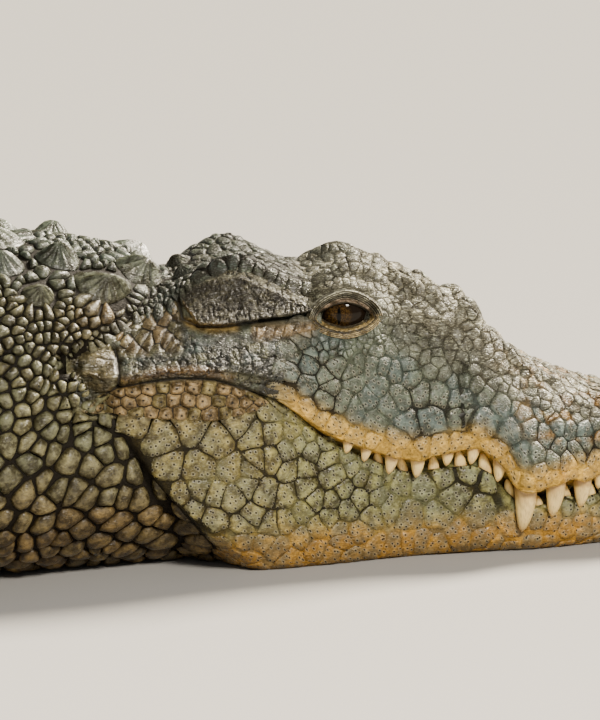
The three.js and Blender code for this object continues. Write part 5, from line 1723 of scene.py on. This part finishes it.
tail_s, tail_v = rows_down(TAIL_ROWS, whorl_distances)
belly_s, belly_v = rows_down(np.arange(0.70, 1.755, SCUTE_ROW / 2), lambda k: np.arange(0.27, 1.0, 0.032))
on_belly = belly_v < 0.22
back_end = ARC < 0.185
neck = (S > margin(V) + 0.004) * (V > 0.10) * (V < 0.985) * (S < 0.90) * ~((S > 0.86) * back_end)
flank = (S >= 0.90) * (S < 1.775) * (V > 0.21) * ~back_end
groups = [
    scattered(jaw_size, plated * (V > 0.13) * (V < 0.46) * (S > 0.012), reach=0.022, gap=0.0001),
    scattered(side_size, plated * (V > 0.548) * (V < 0.90) * ~around_eye, reach=0.020, gap=0.0001),
    scattered(top_size, plated * (V >= 0.90), reach=0.014, gap=0.0004),
    scattered(neck_size, neck, reach=0.024, gap=0.0007, stretch=1.15, turn=0.5),
    listed(NUCHAL_SCUTES[:, 0], nuchal_v, room=NUCHAL_SCUTES[:, 2], reach=NUCHAL_SCUTES[:, 2] * 1.2,
           stretch=NUCHAL_SCUTES[:, 3] * 1000, gap=0.002),
    listed(back_s, back_v, room=0.030, reach=0.040, gap=0.003),
    scattered(0.020 + 0 * S, flank, reach=0.020, gap=0.0018, stretch=1.15),
    listed(belly_s[on_belly], belly_v[on_belly], room=0.016, reach=0.026, gap=0.0016),
    listed(tail_s, tail_v, room=0.016, reach=0.036, gap=0.0018),
    scattered(0.0075 + 0 * S, temple * (V < 0.985), reach=0.014, gap=0.0009, stretch=1.5, turn=0.8),
]
roots = gather(surface, groups)
nuchal_height = np.tile(NUCHAL_SCUTES[:, 4], 2)[:(roots["group"] == 4).sum()]
PLATE_SHARES = (1.0, 0.965, 0.6)
plates("plates_jaw", surface, roots, 0, 0.0008, pores=1.0, dome=14, rounding=36, warp=0.005, vary=0.05,
       shares=PLATE_SHARES, lumps=0.0012, sides=18, sink=0.0007, patch=True)
plates("plates_snout", surface, roots, 1, 0.0008, pores=0.9, dome=12, rounding=36, warp=0.004, vary=0.08,
       shares=PLATE_SHARES, lumps=0.0014, sides=18, sink=0.0007, patch=True)
plates("plates_crown", surface, roots, 2, 0.0012, dome=6, rounding=20, warp=0.004, vary=0.18, lumps=0.002,
       sink=0.0007, patch=True)
plates("plates_neck", surface, roots, 3, 0.0052, dome=4.0, heart=1.0, rounding=18, sides=16,
       shares=(1.0, 0.95, 0.80, 0.45), mend=True)
plates("plates_temple", surface, roots, 9, 0.0026, dome=3, sides=12, shares=(1.0, 0.9, 0.6), mend=True)
plates("plates_nape", surface, roots, 4, nuchal_height * 0.85, keel=nuchal_height * 0.45, keel_width=0.18,
       sides=36, rounding=8, dome=1.25, shares=(1.0, 0.93, 0.8, 0.62, 0.42, 0.2), grooves=13, lumps=0.002)
plates("scutes_back", surface, roots, 5, 0.0035, keel=0.0085, keel_width=0.16, sides=28, rounding=16, dome=4,
       shares=(1.0, 0.94, 0.82, 0.64, 0.42, 0.2))
plates("scales_flank", surface, roots, 6, 0.0040, dome=2.4, rounding=7, sides=12, shares=(1.0, 0.9, 0.55))
plates("scales_belly", surface, roots, 7, 0.0012, sides=12)
plates("scales_tail", surface, roots, 8, 0.0024, dome=5, rounding=16, keel=0.0012, sides=16,
       shares=(1.0, 0.93, 0.5))
crest()
face(bare)
lids(bare)
eyes()
teeth("teeth_upper", UPPER_TEETH, True)
teeth("teeth_lower", LOWER_TEETH, False)
claws(claw_rows)
for limb in limbs:
    i, j = scatter(limb, limb["size"], (limb["k"] > 0.06) * 1.0)
    spots = dict(i=i, j=j, room=value_at(limb["size"], i, j) / 2, gap=0.0012, reach=0.014)
    plates("scales_" + limb["name"], limb, gather(limb, [spots]), 0, 0.0016, dome=2.6, rounding=8, sides=10,
           shares=(1.0, 0.88, 0.5), sink=0.0008)
# the skin lies under the finer piece that shows the side of the head
surface["points"][..., 1] -= 0.006 * surface["side"] * behind_eye
skin(surface, limbs)


camera()
world_light((0.88, 0.90, 0.93), 0.30)
sun("key", 19, 0.30, (1.55, 1.10, 1.75), (1, 0.89, 0.72))
lamp("side", 130, 0.6, (1.7, -2.4, 2.1), (0.95, 0, 0.15), (1, 0.93, 0.82))
FLOOR_HALF = 60
floor_corners = [(x * FLOOR_HALF, y * FLOOR_HALF, 0) for x, y in ((-1, -1), (1, -1), (1, 1), (-1, 1))]
floor = mesh_object("floor", floor_corners, [np.arange(4)[None]])
floor_material, floor_tree, floor_shader = finish_material("floor")
floor_shader["Base Color"].default_value = (0.36, 0.35, 0.335, 1)
floor_shader["Roughness"].default_value = 0.9
floor_shader["Specular IOR Level"].default_value = 0.1
floor.data.materials.append(floor_material)
